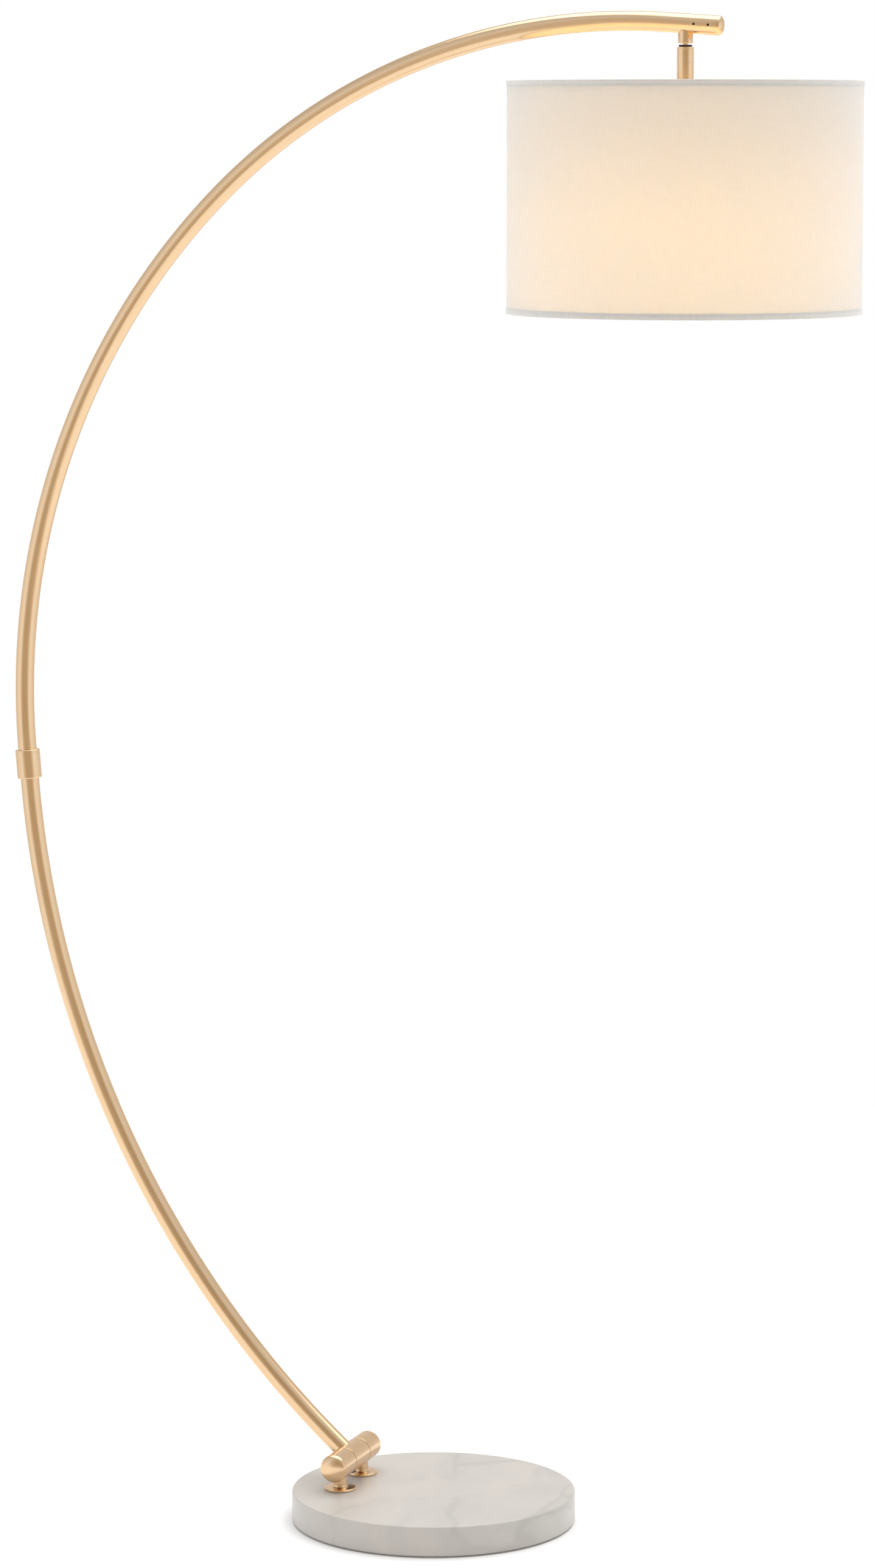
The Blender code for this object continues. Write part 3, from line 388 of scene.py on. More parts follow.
def add(tree, kind, links=None, **settings):
    """One node with its settings. links gives each socket a value, a node's output, or a node whose
    first output in use is meant."""
    made = tree.nodes.new(kind)
    for name, value in settings.items():
        setattr(made, name, value)
    for socket, value in (links or {}).items():
        if isinstance(value, bpy.types.Node):
            value = next(output for output in value.outputs if output.enabled)
        if isinstance(value, bpy.types.NodeSocket):
            tree.links.new(value, made.inputs[socket])
        else:
            made.inputs[socket].default_value = value
    return made


def pattern(tree, kind, source, sizes, links=None, **settings):
    """A texture over the source vector, with its own size in metres along each axis."""
    scale = tuple(1 / size for size in sizes)
    space = add(tree, "ShaderNodeVectorMath", {0: source, 1: scale}, operation="MULTIPLY")
    return add(tree, kind, {"Vector": space, "Scale": 1, **(links or {})}, **settings)


def colour(value):
    """Red, green and blue with full alpha, as a colour socket takes it."""
    return (*value, 1)


def made_once(name):
    """Turns a function that gives a shader's sockets into one that gives the material of this name."""

    def wrap(sockets):
        @wraps(sockets)
        def material():
            found = bpy.data.materials.get(name)
            if found:
                return found
            made = bpy.data.materials.new(name)
            made.use_nodes = True
            tree = made.node_tree
            tree.nodes.clear()
            shader = add(tree, "ShaderNodeBsdfPrincipled", sockets(tree))
            add(tree, "ShaderNodeOutputMaterial", {0: shader})
            return made

        return material

    return wrap


@made_once("satin_gold_plated_steel")
def satin_gold(tree):
    """Steel tube and turned steel, plated in pale gold and satin polished along one direction.

    The polishing lines widen the highlights across themselves; handling leaves faint cloudy patches.
    """
    finish = bpy.context.scene.lamp_finish
    place = add(tree, "ShaderNodeTexCoord").outputs["Object"]
    flat = add(tree, "ShaderNodeUVMap", uv_map=FINISH_MAP)
    # real polishing lines are under 0.05 mm apart; 0.4 mm is the finest that can show
    lines = pattern(
        tree, "ShaderNodeTexNoise", flat, (45 * MM, 0.4 * MM, 1), {"Detail": 3, "Roughness": 0.6}
    )
    clouds = pattern(tree, "ShaderNodeTexNoise", place, (55 * MM,) * 3, {"Detail": 3})
    tone = add(
        tree, "ShaderNodeMapRange", {"Value": lines, "From Min": 0.25, "From Max": 0.75, "To Max": 0.7}
    )
    base = add(
        tree, "ShaderNodeMix",
        {"Factor": tone, "A": colour(finish.gold), "B": colour(finish.gold_deep)}, data_type="RGBA",
    )
    smear = add(
        tree, "ShaderNodeMapRange",
        {"Value": clouds, "From Min": 0.3, "From Max": 0.7, "To Min": 0.15, "To Max": 0.2},
    )
    grain = add(tree, "ShaderNodeMath", {0: lines, 1: 0.1, 2: smear}, operation="MULTIPLY_ADD")
    bump = add(tree, "ShaderNodeBump", {"Height": lines, "Strength": 0.25, "Distance": 0.02 * MM})
    return {"Base Color": base, "Metallic": 1.0, "Roughness": grain, "Normal": bump}


@made_once("honed_white_marble")
def honed_marble(tree):
    """White marble, sawn, honed and waxed: soft clouds, thin grey veins that fade in and out,
    and a low gloss that brightens the rounded rim."""
    finish = bpy.context.scene.lamp_finish
    place = add(tree, "ShaderNodeTexCoord").outputs["Object"]
    drift = pattern(
        tree, "ShaderNodeTexNoise", place, (110 * MM, 170 * MM, 110 * MM), {"Detail": 2, "Roughness": 0.45}
    )
    shift = add(
        tree, "ShaderNodeVectorMath", {0: drift.outputs["Color"], 1: (0.5,) * 3}, operation="SUBTRACT"
    )
    sway = add(tree, "ShaderNodeVectorMath", {0: shift, "Scale": 0.16}, operation="SCALE")
    bent = add(tree, "ShaderNodeVectorMath", {0: place, 1: sway}, operation="ADD")
    cloud = pattern(
        tree, "ShaderNodeTexNoise", bent, (70 * MM, 120 * MM, 70 * MM), {"Detail": 6, "Roughness": 0.55}
    )
    ground = add(tree, "ShaderNodeMapRange", {"Value": cloud, "From Min": 0.35, "From Max": 0.7})
    stone = add(
        tree, "ShaderNodeMix",
        {"Factor": ground, "A": colour(finish.marble), "B": colour(finish.marble_cloud)}, data_type="RGBA",
    )
    cracks = pattern(
        tree, "ShaderNodeTexVoronoi", bent, (120 * MM, 210 * MM, 120 * MM), feature="DISTANCE_TO_EDGE"
    )
    vein = add(
        tree, "ShaderNodeMapRange", {"Value": cracks, "From Max": 0.07, "To Min": 1.0, "To Max": 0.0},
        interpolation_type="SMOOTHSTEP",
    )
    fade = add(
        tree, "ShaderNodeMapRange", {"Value": drift, "From Min": 0.42, "From Max": 0.62, "To Max": 0.35}
    )
    strength = add(tree, "ShaderNodeMath", {0: vein, 1: fade}, operation="MULTIPLY")
    base = add(
        tree, "ShaderNodeMix", {"Factor": strength, "A": stone, "B": colour(finish.marble_vein)},
        data_type="RGBA",
    )
    grit = pattern(tree, "ShaderNodeTexNoise", place, (8 * MM,) * 3, {"Detail": 2})
    gloss = add(tree, "ShaderNodeMapRange", {"Value": grit, "To Min": 0.27, "To Max": 0.34})
    bump = add(tree, "ShaderNodeBump", {"Height": grit, "Strength": 0.1, "Distance": 0.01 * MM})
    return {"Base Color": base, "Roughness": gloss, "IOR": 1.5, "Normal": bump}


def cloth_weave(tree, thread, slub_length):
    """A plain weave in the finish map: the slubs along both directions, and the height of the cloth."""
    flat = add(tree, "ShaderNodeUVMap", uv_map=FINISH_MAP)
    wobble = pattern(tree, "ShaderNodeTexNoise", flat, (9 * MM, 9 * MM, 1), {"Detail": 2}).outputs["Color"]
    nudge = add(tree, "ShaderNodeVectorMath", {0: wobble, "Scale": thread * 1.6}, operation="SCALE")
    bent = add(tree, "ShaderNodeVectorMath", {0: flat, 1: nudge}, operation="ADD")
    turns = add(tree, "ShaderNodeVectorMath", {0: bent, "Scale": 2 * pi / thread}, operation="SCALE")
    parts = add(tree, "ShaderNodeSeparateXYZ", {0: turns})
    waves = [add(tree, "ShaderNodeMath", {0: parts.outputs[axis]}, operation="SINE") for axis in (0, 1)]
    weave = add(tree, "ShaderNodeMath", {0: waves[0], 1: waves[1]}, operation="MULTIPLY")
    yarns = [
        pattern(tree, "ShaderNodeTexNoise", flat, sizes, {"Detail": 2, "Roughness": 0.6})
        for sizes in ((slub_length, thread, 1), (thread, slub_length, 1))
    ]
    slubs = add(tree, "ShaderNodeMath", {0: yarns[0], 1: yarns[1]}, operation="ADD")
    height = add(tree, "ShaderNodeMath", {0: weave, 1: 0.35, 2: slubs}, operation="MULTIPLY_ADD")
    return slubs, height


def linen(tree, ground, light_depth):
    """Bleached linen in a plain weave, bonded to a clear backing: matt and cream, its slubs running
    round and down the shade. Lamp light passes through it and warms it."""
    # real threads are 0.5 mm apart; 0.9 mm is the finest that can show
    slubs, height = cloth_weave(tree, 0.9 * MM, 22 * MM)
    tone = add(tree, "ShaderNodeMapRange", {"Value": slubs, "From Min": 0.6, "From Max": 1.5})
    thread = bpy.context.scene.lamp_finish.linen_thread
    base = add(
        tree, "ShaderNodeMix", {"Factor": tone, "A": colour(ground), "B": colour(thread)}, data_type="RGBA"
    )
    bump = add(tree, "ShaderNodeBump", {"Height": height, "Strength": 0.35, "Distance": 0.08 * MM})
    return {
        "Base Color": base, "Roughness": 0.92, "Normal": bump, "IOR": 1.45, "Specular IOR Level": 0.2,
        "Sheen Weight": 0.12, "Sheen Roughness": 0.5, "Subsurface Weight": 1.0,
        "Subsurface Scale": light_depth, "Subsurface Radius": (1.0, 0.9, 0.75),
    }


@made_once("woven_linen")
def woven_linen(tree):
    """The single layer of the shade's wall."""
    return linen(tree, bpy.context.scene.lamp_finish.linen, 1.8 * MM)


@made_once("woven_linen_hem")
def hem_linen_painted_paler(tree):
    """The strips over the rims, folded double, where light goes half as deep: their paler colour is painted light,
    making up for the lamp glow that passes less through them.
    """
    return linen(tree, bpy.context.scene.lamp_finish.linen_hem, 0.9 * MM)


@made_once("calendered_pvc_backing")
def milky_pvc(tree):
    """The shade's backing sheet, calendered PVC: smooth, milky and faintly glossy."""
    place = add(tree, "ShaderNodeTexCoord").outputs["Object"]
    haze = pattern(tree, "ShaderNodeTexNoise", place, (18 * MM, 18 * MM, 60 * MM), {"Detail": 3})
    base = add(
        tree, "ShaderNodeMix",
        {"Factor": haze, "A": colour(linear("#F1ECE2")), "B": colour(linear("#E6DED0"))}, data_type="RGBA",
    )
    gloss = add(tree, "ShaderNodeMapRange", {"Value": haze, "To Min": 0.38, "To Max": 0.52})
    return {
        "Base Color": base, "Roughness": gloss, "IOR": 1.53, "Subsurface Weight": 1.0,
        "Subsurface Scale": 2.4 * MM, "Subsurface Radius": (1.0, 0.85, 0.65),
    }


def moulded(tree, shade, tint, roughness, grain, depth, ior=1.5, coat=0.0):
    """A moulded or sprayed surface: two close tones in soft flow marks, and a fine grain."""
    place = add(tree, "ShaderNodeTexCoord").outputs["Object"]
    flow = pattern(tree, "ShaderNodeTexNoise", place, (14 * MM, 14 * MM, 40 * MM), {"Detail": 2})
    base = add(
        tree, "ShaderNodeMix",
        {"Factor": flow, "A": colour(linear(shade)), "B": colour(linear(tint))}, data_type="RGBA",
    )
    speck = pattern(tree, "ShaderNodeTexNoise", place, (grain,) * 3, {"Detail": 2})
    gloss = add(
        tree, "ShaderNodeMapRange",
        {"Value": speck, "To Min": roughness * 0.85, "To Max": roughness * 1.15},
    )
    bump = add(tree, "ShaderNodeBump", {"Height": speck, "Strength": 0.3, "Distance": depth})
    return {"Base Color": base, "Roughness": gloss, "IOR": ior, "Normal": bump, "Coat Weight": coat}


@made_once("moulded_nylon")
def moulded_nylon(tree):
    """Black-brown nylon, injection moulded: dull, with a spark-eroded grain."""
    return moulded(tree, "#2A221B", "#382E25", 0.55, 0.5 * MM, 0.02 * MM)


@made_once("pressed_phenolic")
def pressed_phenolic(tree):
    """Black phenolic resin, hot pressed: hard and glossy, with faint flow marks."""
    return moulded(tree, "#141313", "#1E1C1B", 0.22, 2 * MM, 0.01 * MM, ior=1.6, coat=0.2)


@made_once("extruded_pvc_sheath")
def extruded_pvc(tree):
    """The lead's clear PVC sheath, extruded: pale amber over its cores, softly glossy."""
    return moulded(tree, "#D9CFB4", "#CFC3A2", 0.35, 1 * MM, 0.01 * MM, ior=1.53)


@made_once("pressed_wool_felt")
def pressed_felt(tree):
    """Grey wool felt, pressed: short fibres in every direction, no gloss at all."""
    place = add(tree, "ShaderNodeTexCoord").outputs["Object"]
    # single fibres are 0.03 mm thick; tufts of 1.2 mm by 5 mm are what can show
    across, along = (
        pattern(tree, "ShaderNodeTexNoise", place, sizes, {"Detail": 4, "Distortion": 1.5})
        for sizes in ((5 * MM, 1.2 * MM, 2 * MM), (1.2 * MM, 5 * MM, 2 * MM))
    )
    tufts = add(tree, "ShaderNodeMath", {0: across, 1: along}, operation="MULTIPLY")
    tone = add(tree, "ShaderNodeMapRange", {"Value": tufts, "From Min": 0.12, "From Max": 0.4})
    base = add(
        tree, "ShaderNodeMix",
        {"Factor": tone, "A": colour(linear("#A5A19B")), "B": colour(linear("#C4C0BA"))}, data_type="RGBA",
    )
    bump = add(tree, "ShaderNodeBump", {"Height": tufts, "Strength": 0.7, "Distance": 0.3 * MM})
    return {
        "Base Color": base, "Roughness": 0.97, "Normal": bump, "Sheen Weight": 0.35,
        "Sheen Roughness": 0.6, "Specular IOR Level": 0.1,
    }


def bare_metal(tree, bright, dull, roughness, patch):
    """Plain metal in two tones: the patches of its plating or casting, and a fine tumbled grain."""
    place = add(tree, "ShaderNodeTexCoord").outputs["Object"]
    patches = pattern(tree, "ShaderNodeTexVoronoi", place, (patch,) * 3)
    grain = pattern(tree, "ShaderNodeTexNoise", place, (0.7 * MM,) * 3, {"Detail": 3})
    base = add(
        tree, "ShaderNodeMix",
        {"Factor": patches, "A": colour(linear(bright)), "B": colour(linear(dull))}, data_type="RGBA",
    )
    gloss = add(
        tree, "ShaderNodeMapRange", {"Value": grain, "To Min": roughness * 0.8, "To Max": roughness * 1.2}
    )
    bump = add(tree, "ShaderNodeBump", {"Height": grain, "Strength": 0.2, "Distance": 0.02 * MM})
    return {"Base Color": base, "Metallic": 1.0, "Roughness": gloss, "Normal": bump}


@made_once("zinc_plated_steel")
def zinc_plate(tree):
    """Bright zinc on steel screws, washers and wire: cool, slightly mottled."""
    return bare_metal(tree, "#C9CBCC", "#ABAEB0", 0.34, 1.6 * MM)


@made_once("black_oxide_steel")
def black_oxide(tree):
    """Blackened steel set screws: a dark, oily sheen."""
    return bare_metal(tree, "#5A5046", "#453C33", 0.38, 1.2 * MM)


@made_once("sintered_bronze")
def sintered_bronze(tree):
    """Friction washers pressed from bronze powder: brown-gold and open grained."""
    return bare_metal(tree, "#B98F5C", "#96703F", 0.45, 0.9 * MM)


@made_once("rolled_brass")
def rolled_brass(tree):
    """Thin rolled brass of the screw sleeve and the contact: yellow, with rolling tarnish."""
    return bare_metal(tree, "#D9B56A", "#B8924B", 0.3, 3 * MM)


@made_once("frosted_bulb_glass")
def frosted_glass(tree):
    """Bulb glass, etched inside to a milky white and lit from within."""
    finish = bpy.context.scene.lamp_finish
    place = add(tree, "ShaderNodeTexCoord").outputs["Object"]
    etch = pattern(tree, "ShaderNodeTexNoise", place, (1 * MM,) * 3, {"Detail": 3})
    gloss = add(tree, "ShaderNodeMapRange", {"Value": etch, "To Min": 0.3, "To Max": 0.42})
    base = add(
        tree, "ShaderNodeMix",
        {"Factor": etch, "A": colour(linear("#FBF6EC")), "B": colour(linear("#F2E9DA"))}, data_type="RGBA",
    )
    # the glow is strongest low on the globe, in front of the filament, and fades towards the cap
    low, high = levels("bulb_glass")
    height = add(tree, "ShaderNodeSeparateXYZ", {0: place}).outputs[2]
    glow = add(
        tree, "ShaderNodeMapRange",
        {
            "Value": height, "From Min": low + (high - low) * 0.1, "From Max": low + (high - low) * 0.45,
            "To Min": finish.bulb_strength, "To Max": finish.bulb_strength * 0.04,
        },
        interpolation_type="SMOOTHSTEP",
    )
    return {
        "Base Color": base, "Roughness": gloss, "IOR": 1.5, "Emission Color": colour(finish.bulb_glow),
        "Emission Strength": glow,
    }


@made_once("white_studio_floor")
def floor_paint(tree):
    """The studio floor's flat white paint."""
    return {"Base Color": (0.95, 0.95, 0.95, 1), "Roughness": 0.9}


# ---------------------------------------------------------------- base and feet

FOOT_BOLT_BORE = 4.3 * MM  # in the flanges, posts and knuckles
MARBLE_BOLT_BORE = 4.5 * MM
POCKET_ROOM = 2 * MM  # round the washer, for a socket wrench


class LAMP_OT_marble_base(bpy.types.Operator):
    """Marble disc with rounded rims, bolt holes and their pockets"""

    bl_idname = "lamp.marble_base"
    bl_label = "Marble base"

    def execute(self, context):
        low, high = levels("marble_base")
        radius = half_width("marble_base")
        edge = context.scene.lamp_shape.marble_edge
        corners = ring_outline(0, radius, high, low, outer=edge)
        disc = turned("marble_disc", corners, Vector(), UP, honed_marble(), closed=False)
        holes = []
        for side in SIDES:
            foot = foot_spot(side)
            washer_top = levels("foot_washer_" + side)[1] + PLAY
            pocket = half_width("foot_washer_" + side) + POCKET_ROOM
            holes.append(rod(foot + UP * (low - edge), foot + UP * (high + edge), MARBLE_BOLT_BORE))
            holes.append(rod(foot + UP * (low - edge), foot + UP * washer_top, pocket))
        settle(combined(disc, holes, "DIFFERENCE"), "marble_base")
        return {"FINISHED"}


def foot_spot(side):
    """The foot's axis on the floor."""
    spot = centre_of("foot_flange_" + side)
    spot.z = 0
    return spot


class LAMP_OT_felt_pad(bpy.types.Operator):
    """Felt disc glued under the marble"""

    bl_idname = "lamp.felt_pad"
    bl_label = "Felt pad"

    def execute(self, context):
        low, high = levels("felt_pad")
        radius = half_width("felt_pad")
        corners = ring_outline(0, radius, high, low, outer=0.5 * MM)
        made = turned("felt_disc", corners, Vector(), UP, pressed_felt(), closed=False)
        settle(made, "felt_pad")
        return {"FINISHED"}


class LAMP_OT_feet(bpy.types.Operator):
    """Two turned flanges and the posts that stand on them, saddled to the barrel"""

    bl_idname = "lamp.feet"
    bl_label = "Feet"

    def execute(self, context):
        edge = context.scene.lamp_shape.edge
        barrel = half_height("hinge_knuckle_front")
        for side in SIDES:
            spot = foot_spot(side)
            low, high = levels("foot_flange_" + side)
            outer = half_width("foot_flange_" + side)
            post = half_width("foot_post_" + side)
            step = 0.5 * MM
            flange = [
                (FOOT_BOLT_BORE, high, 0), (post + 1.5 * MM, high, 0.4 * MM),
                (post + 2 * MM, high - step, 0.3 * MM), (outer, high - step, 1.2 * MM),
                (outer, low, 0.3 * MM), (FOOT_BOLT_BORE, low, 0),
            ]
            settle(turned(f"flange_{side}", flange, spot, UP, satin_gold()), "foot_flange_" + side)
            low, high = levels("foot_post_" + side)
            column = [
                (FOOT_BOLT_BORE, high, 0), (post, high, 0), (post, low + 2 * MM, 1.5 * MM),
                (post + 1.2 * MM, low, edge / 2), (FOOT_BOLT_BORE, low, 0),
            ]
            steps = context.scene.lamp_shape.round_steps * 2
            made = turned(f"post_{side}", column, spot, UP, satin_gold(), steps=steps)
            reach = ALONG_Y * outer * 2
            at = Vector((spot.x, spot.y, HINGE.z))
            saddle = rod(at - reach, at + reach, barrel + TOUCH, steps=SADDLE_STEPS)
            settle(combined(made, [saddle], "DIFFERENCE"), "foot_post_" + side)
            dress(zinc_plate(), "foot_bolt_" + side, "foot_washer_" + side)
        return {"FINISHED"}


# ---------------------------------------------------------------- hinge

PIVOT_BORE = 6.3 * MM  # for the pivot bolts' shoulders and threads
PIVOT_THREAD_DEPTH = 18.3 * MM
CAP_POCKET = 13 * MM
CAP_POCKET_DEPTH = 14 * MM
LEAD_WAY = 3 * MM  # half width of the lead's way through solid metal
INLET_BORE = 5 * MM


def domed(radius, start, rise, count=14):
    """The outline of a dome of this height on a cylinder's end, from its crown down."""
    angles = [pi / 2 * i / count for i in range(count + 1)]
    return [(radius * sin(angle), start + rise * cos(angle), 0) for angle in angles]


class LAMP_OT_hinge_knuckles(bpy.types.Operator):
    """The two fixed knuckles and their domed caps"""

    bl_idname = "lamp.hinge_knuckles"
    bl_label = "Hinge knuckles and caps"

    def execute(self, context):
        edge = context.scene.lamp_shape.edge
        radius = half_height("hinge_knuckle_front")
        for side, sign in SIDES.items():
            way = ALONG_Y * sign
            ends = [abs(point.y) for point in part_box("hinge_knuckle_" + side)]
            near, far = min(ends), max(ends)
            floor_at = far - CAP_POCKET_DEPTH
            knuckle = [
                (CAP_POCKET, far, 0), (radius, far, edge / 2), (radius, near, edge),
                (PIVOT_BORE, near, 0.2 * MM), (PIVOT_BORE, floor_at, 0), (CAP_POCKET, floor_at, 0),
            ]
            made = turned(f"knuckle_{side}", knuckle, HINGE, way, satin_gold())
            spot = foot_spot(side)
            bolt_top = levels("foot_bolt_" + side)[1] + PLAY
            hole = rod(spot + UP * (HINGE.z - radius * 1.2), spot + UP * bolt_top, FOOT_BOLT_BORE)
            settle(combined(made, [hole], "DIFFERENCE"), "hinge_knuckle_" + side)
            cap_ends = [abs(point.y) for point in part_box("barrel_cap_" + side)]
            spigot_end, tip = min(cap_ends), max(cap_ends)
            start = far + TOUCH
            spigot = CAP_POCKET - PLAY
            cap = domed(radius, start, tip - start)
            cap += [(spigot, start, 0), (spigot, spigot_end, 0.3 * MM), (0, spigot_end, 0)]
            made = turned(f"end_cap_{side}", cap, HINGE, way, satin_gold(), closed=False)
            settle(made, "barrel_cap_" + side)
        return {"FINISHED"}


class LAMP_OT_centre_knuckle(bpy.types.Operator):
    """The moving knuckle with the arm's socket, the friction washers beside it and the lead's inlet bush under it
    """

    bl_idname = "lamp.centre_knuckle"
    bl_label = "Centre knuckle"

    def execute(self, context):
        edge = context.scene.lamp_shape.edge
        radius = half_height("hinge_knuckle_front")
        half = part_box("hinge_barrel")[1].y
        solid = ring_outline(0, radius, half, -half, outer=edge)
        steps = context.scene.lamp_shape.round_steps * 2
        knuckle = turned("centre_knuckle", solid, HINGE, ALONG_Y, satin_gold(), closed=False, steps=steps)
        _, along = arm_point(SOCKET_FLOOR)
        past = radius * 1.3
        thread_end = half - PIVOT_THREAD_DEPTH
        tools = []
        for sign in SIDES.values():
            way = ALONG_Y * sign
            tools.append(rod(HINGE + way * thread_end, HINGE + way * (half + edge), PIVOT_BORE))
        tools.append(rod(HINGE + along * SOCKET_FLOOR, HINGE + along * past, TUBE_RADIUS + TOUCH))
        tools.append(rod(HINGE - along * LEAD_WAY, HINGE + along * past, LEAD_WAY))
        tools.append(rod(HINGE, HINGE - UP * past, LEAD_WAY))
        inlet_top = levels("cord_inlet_bush")[1] + PLAY
        tools.append(rod(Vector((HINGE.x, 0, inlet_top)), HINGE - UP * past, INLET_BORE))
        settle(combined(knuckle, tools, "DIFFERENCE"), "hinge_barrel")
        for side, sign in SIDES.items():
            ends = [abs(point.y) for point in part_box("friction_washer_" + side)]
            rim = radius - 0.2 * MM
            washer = ring_outline(PIVOT_BORE, rim, max(ends), min(ends), outer=0.2 * MM)
            made = turned(f"thrust_washer_{side}", washer, HINGE, ALONG_Y * sign, sintered_bronze())
            settle(made, "friction_washer_" + side)
            dress(zinc_plate(), "pivot_bolt_" + side, "disc_spring_" + side)
        low, high = levels("cord_inlet_bush")
        flange_top = HINGE.z - radius - TOUCH
        barrel = INLET_BORE - PLAY
        flange = barrel + 2 * MM
        bush = [
            (LEAD_BORE, high, 0.3 * MM), (barrel, high, 0.3 * MM), (barrel, flange_top, 0),
            (flange, flange_top, 0.2 * MM), (flange - 1 * MM, low, 0.8 * MM), (LEAD_BORE, low, 1.2 * MM),
        ]
        made = turned("inlet_bush", bush, Vector((HINGE.x, 0, 0)), UP, moulded_nylon(), steps=48)
        settle(made, "cord_inlet_bush")
        return {"FINISHED"}


# ---------------------------------------------------------------- arm

COLLAR_LENGTH = 39 * MM
COLLAR_SCREWS = ("collar_screw_upper", "collar_screw_lower")
END_SCREWS = ("end_screw_outer", "end_screw_inner")
END_SCREW_BORE = 1.65 * MM
NECK_BORE = 8.3 * MM  # for the neck's spigot, up into the tube and its plug
PLUG_LENGTH = 60 * MM
CAP_SKIRT = 2 * MM
CAP_DOME = 7 * MM


def arm_tube(name, start, end):
    """A stretch of the bent tube with its bore and eased ends."""
    shape = bpy.context.scene.lamp_shape
    sides = 64
    ease = 0.4 * MM
    count = round((end - start) / shape.tube_step)
    inner = TUBE_RADIUS - TUBE_WALL
    spots = [(start, TUBE_RADIUS - ease)]
    spots += [(start + ease + (end - start - 2 * ease) * i / count, TUBE_RADIUS) for i in range(count + 1)]
    spots.append((end, TUBE_RADIUS - ease))
    spots += [(end - (end - start) * i / count, inner) for i in range(count + 1)]
    rows = []
    marks = []
    for distance, radius in spots:
        centre, along = arm_point(distance)
        across = ALONG_Y.cross(along)
        angles = [2 * pi * side / sides for side in range(sides)]
        rows.append([centre + across * (radius * cos(a)) + ALONG_Y * (radius * sin(a)) for a in angles])
        marks.append(distance)
    marks.append(start)
    around = [2 * pi * TUBE_RADIUS * side / sides for side in range(sides + 1)]
    return skin(name, rows, marks, around, satin_gold(), loop=True, along_rows=True)


def hex_socket(from_radius):
    """Relief that turns the inner rows of a screw's head into a hexagon."""

    def relief(radius, height, angle):
        if radius > from_radius:
            return radius
        third = pi / 3
        off = (angle % third) - third / 2
        return radius * cos(third / 2) / cos(off)

    return relief


def cross_hole(name, start, end, radius):
    """A cutter along Y through a screw's place, between two distances from the arm's plane."""
    spot = centre_of(name)
    spot.y = 0
    return rod(spot + ALONG_Y * start, spot + ALONG_Y * end, radius)


def grub_screw(name, node, way):
    """A set screw with a hexagon socket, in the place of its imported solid."""
    low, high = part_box(node)
    centre = centre_of(node)
    radius = half_height(node)
    inner = min(abs(low.y), abs(high.y)) * way.y
    length = high.y - low.y
    socket = radius * 0.6
    depth = length * 0.45
    corners = [
        (0, 0, 0), (radius, 0, radius * 0.2), (radius, length, radius * 0.25), (socket, length, radius * 0.1),
        (socket * 0.98, length - depth, 0), (0, length - depth, 0),
    ]
    origin = Vector((centre.x, inner, centre.z))
    relief = hex_socket(socket * 1.05)
    return turned(name, corners, origin, way, black_oxide(), closed=False, steps=48, relief=relief)


class LAMP_OT_arm_tubes(bpy.types.Operator):
    """The two lengths of bent tube"""

    bl_idname = "lamp.arm_tubes"
    bl_label = "Arm tubes"

    def execute(self, context):
        settle(arm_tube("lower_tube", SOCKET_FLOOR + PLAY, COLLAR_AT - TOUCH), "lower_arm_tube")
        upper = arm_tube("upper_tube", COLLAR_AT + TOUCH, TUBE_END)
        stem = arm_point(STEM_AT)[0]
        tools = [rod(stem - UP * TUBE_RADIUS * 2, stem, NECK_BORE)]
        for name in END_SCREWS:
            tools.append(cross_hole(name, -TUBE_RADIUS * 2, -TUBE_RADIUS * 0.5, END_SCREW_BORE))
        settle(combined(upper, tools, "DIFFERENCE"), "upper_arm_tube")
        dress(zinc_plate(), "joint_sleeve")
        return {"FINISHED"}


class LAMP_OT_arm_collar(bpy.types.Operator):
    """The collar over the joint of the two tubes, with its set screws"""

    bl_idname = "lamp.arm_collar"
    bl_label = "Joint collar"

    def execute(self, context):
        centre, along = arm_point(COLLAR_AT)
        outer = half_width("joint_collar")
        half = COLLAR_LENGTH / 2
        bore = TUBE_RADIUS + TOUCH
        corners = ring_outline(bore, outer, half, -half, inner=0.2 * MM, outer=1.4 * MM)
        collar = turned("collar", corners, centre, along, satin_gold())
        tools = []
        for name in COLLAR_SCREWS:
            hole = half_height(name) + TOUCH * 3
            tools.append(cross_hole(name, TUBE_RADIUS * 0.9, outer * 1.3, hole))
        settle(combined(collar, tools, "DIFFERENCE"), "joint_collar")
        for name in COLLAR_SCREWS:
            settle(grub_screw(name + "_set", name, ALONG_Y), name)
        return {"FINISHED"}


class LAMP_OT_arm_end(bpy.types.Operator):
    """The rounded cap with its plug, and the two screws that hold it"""

    bl_idname = "lamp.arm_end"
    bl_label = "Arm end"

    def execute(self, context):
        end, along = arm_point(TUBE_END)
        plug = TUBE_RADIUS - TUBE_WALL - TOUCH * 2
        corners = domed(TUBE_RADIUS, CAP_SKIRT, CAP_DOME)
        corners += [
            (TUBE_RADIUS, TOUCH, 0.25 * MM), (plug, TOUCH, 0), (plug, -PLUG_LENGTH, 0.8 * MM),
            (0, -PLUG_LENGTH, 0),
        ]
        cap = turned("tip_cap", corners, end, along, satin_gold(), closed=False)
        stem = arm_point(STEM_AT)[0]
        neck_top = levels("hanger_neck")[1] + PLAY
        tools = [
            rod(stem - UP * TUBE_RADIUS * 2, Vector((stem.x, 0, neck_top)), NECK_BORE),
            rod(end - along * (PLUG_LENGTH + CAP_SKIRT), stem, LEAD_WAY),
        ]
        for name in END_SCREWS:
            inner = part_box(name)[1].y + PLAY
            tools.append(cross_hole(name, -TUBE_RADIUS * 2, inner, END_SCREW_BORE))
        settle(combined(cap, tools, "DIFFERENCE"), "arm_end_cap")
        for name in END_SCREWS:
            settle(grub_screw(name + "_set", name, -ALONG_Y), name)
        return {"FINISHED"}


# ---------------------------------------------------------------- hanger and swivel


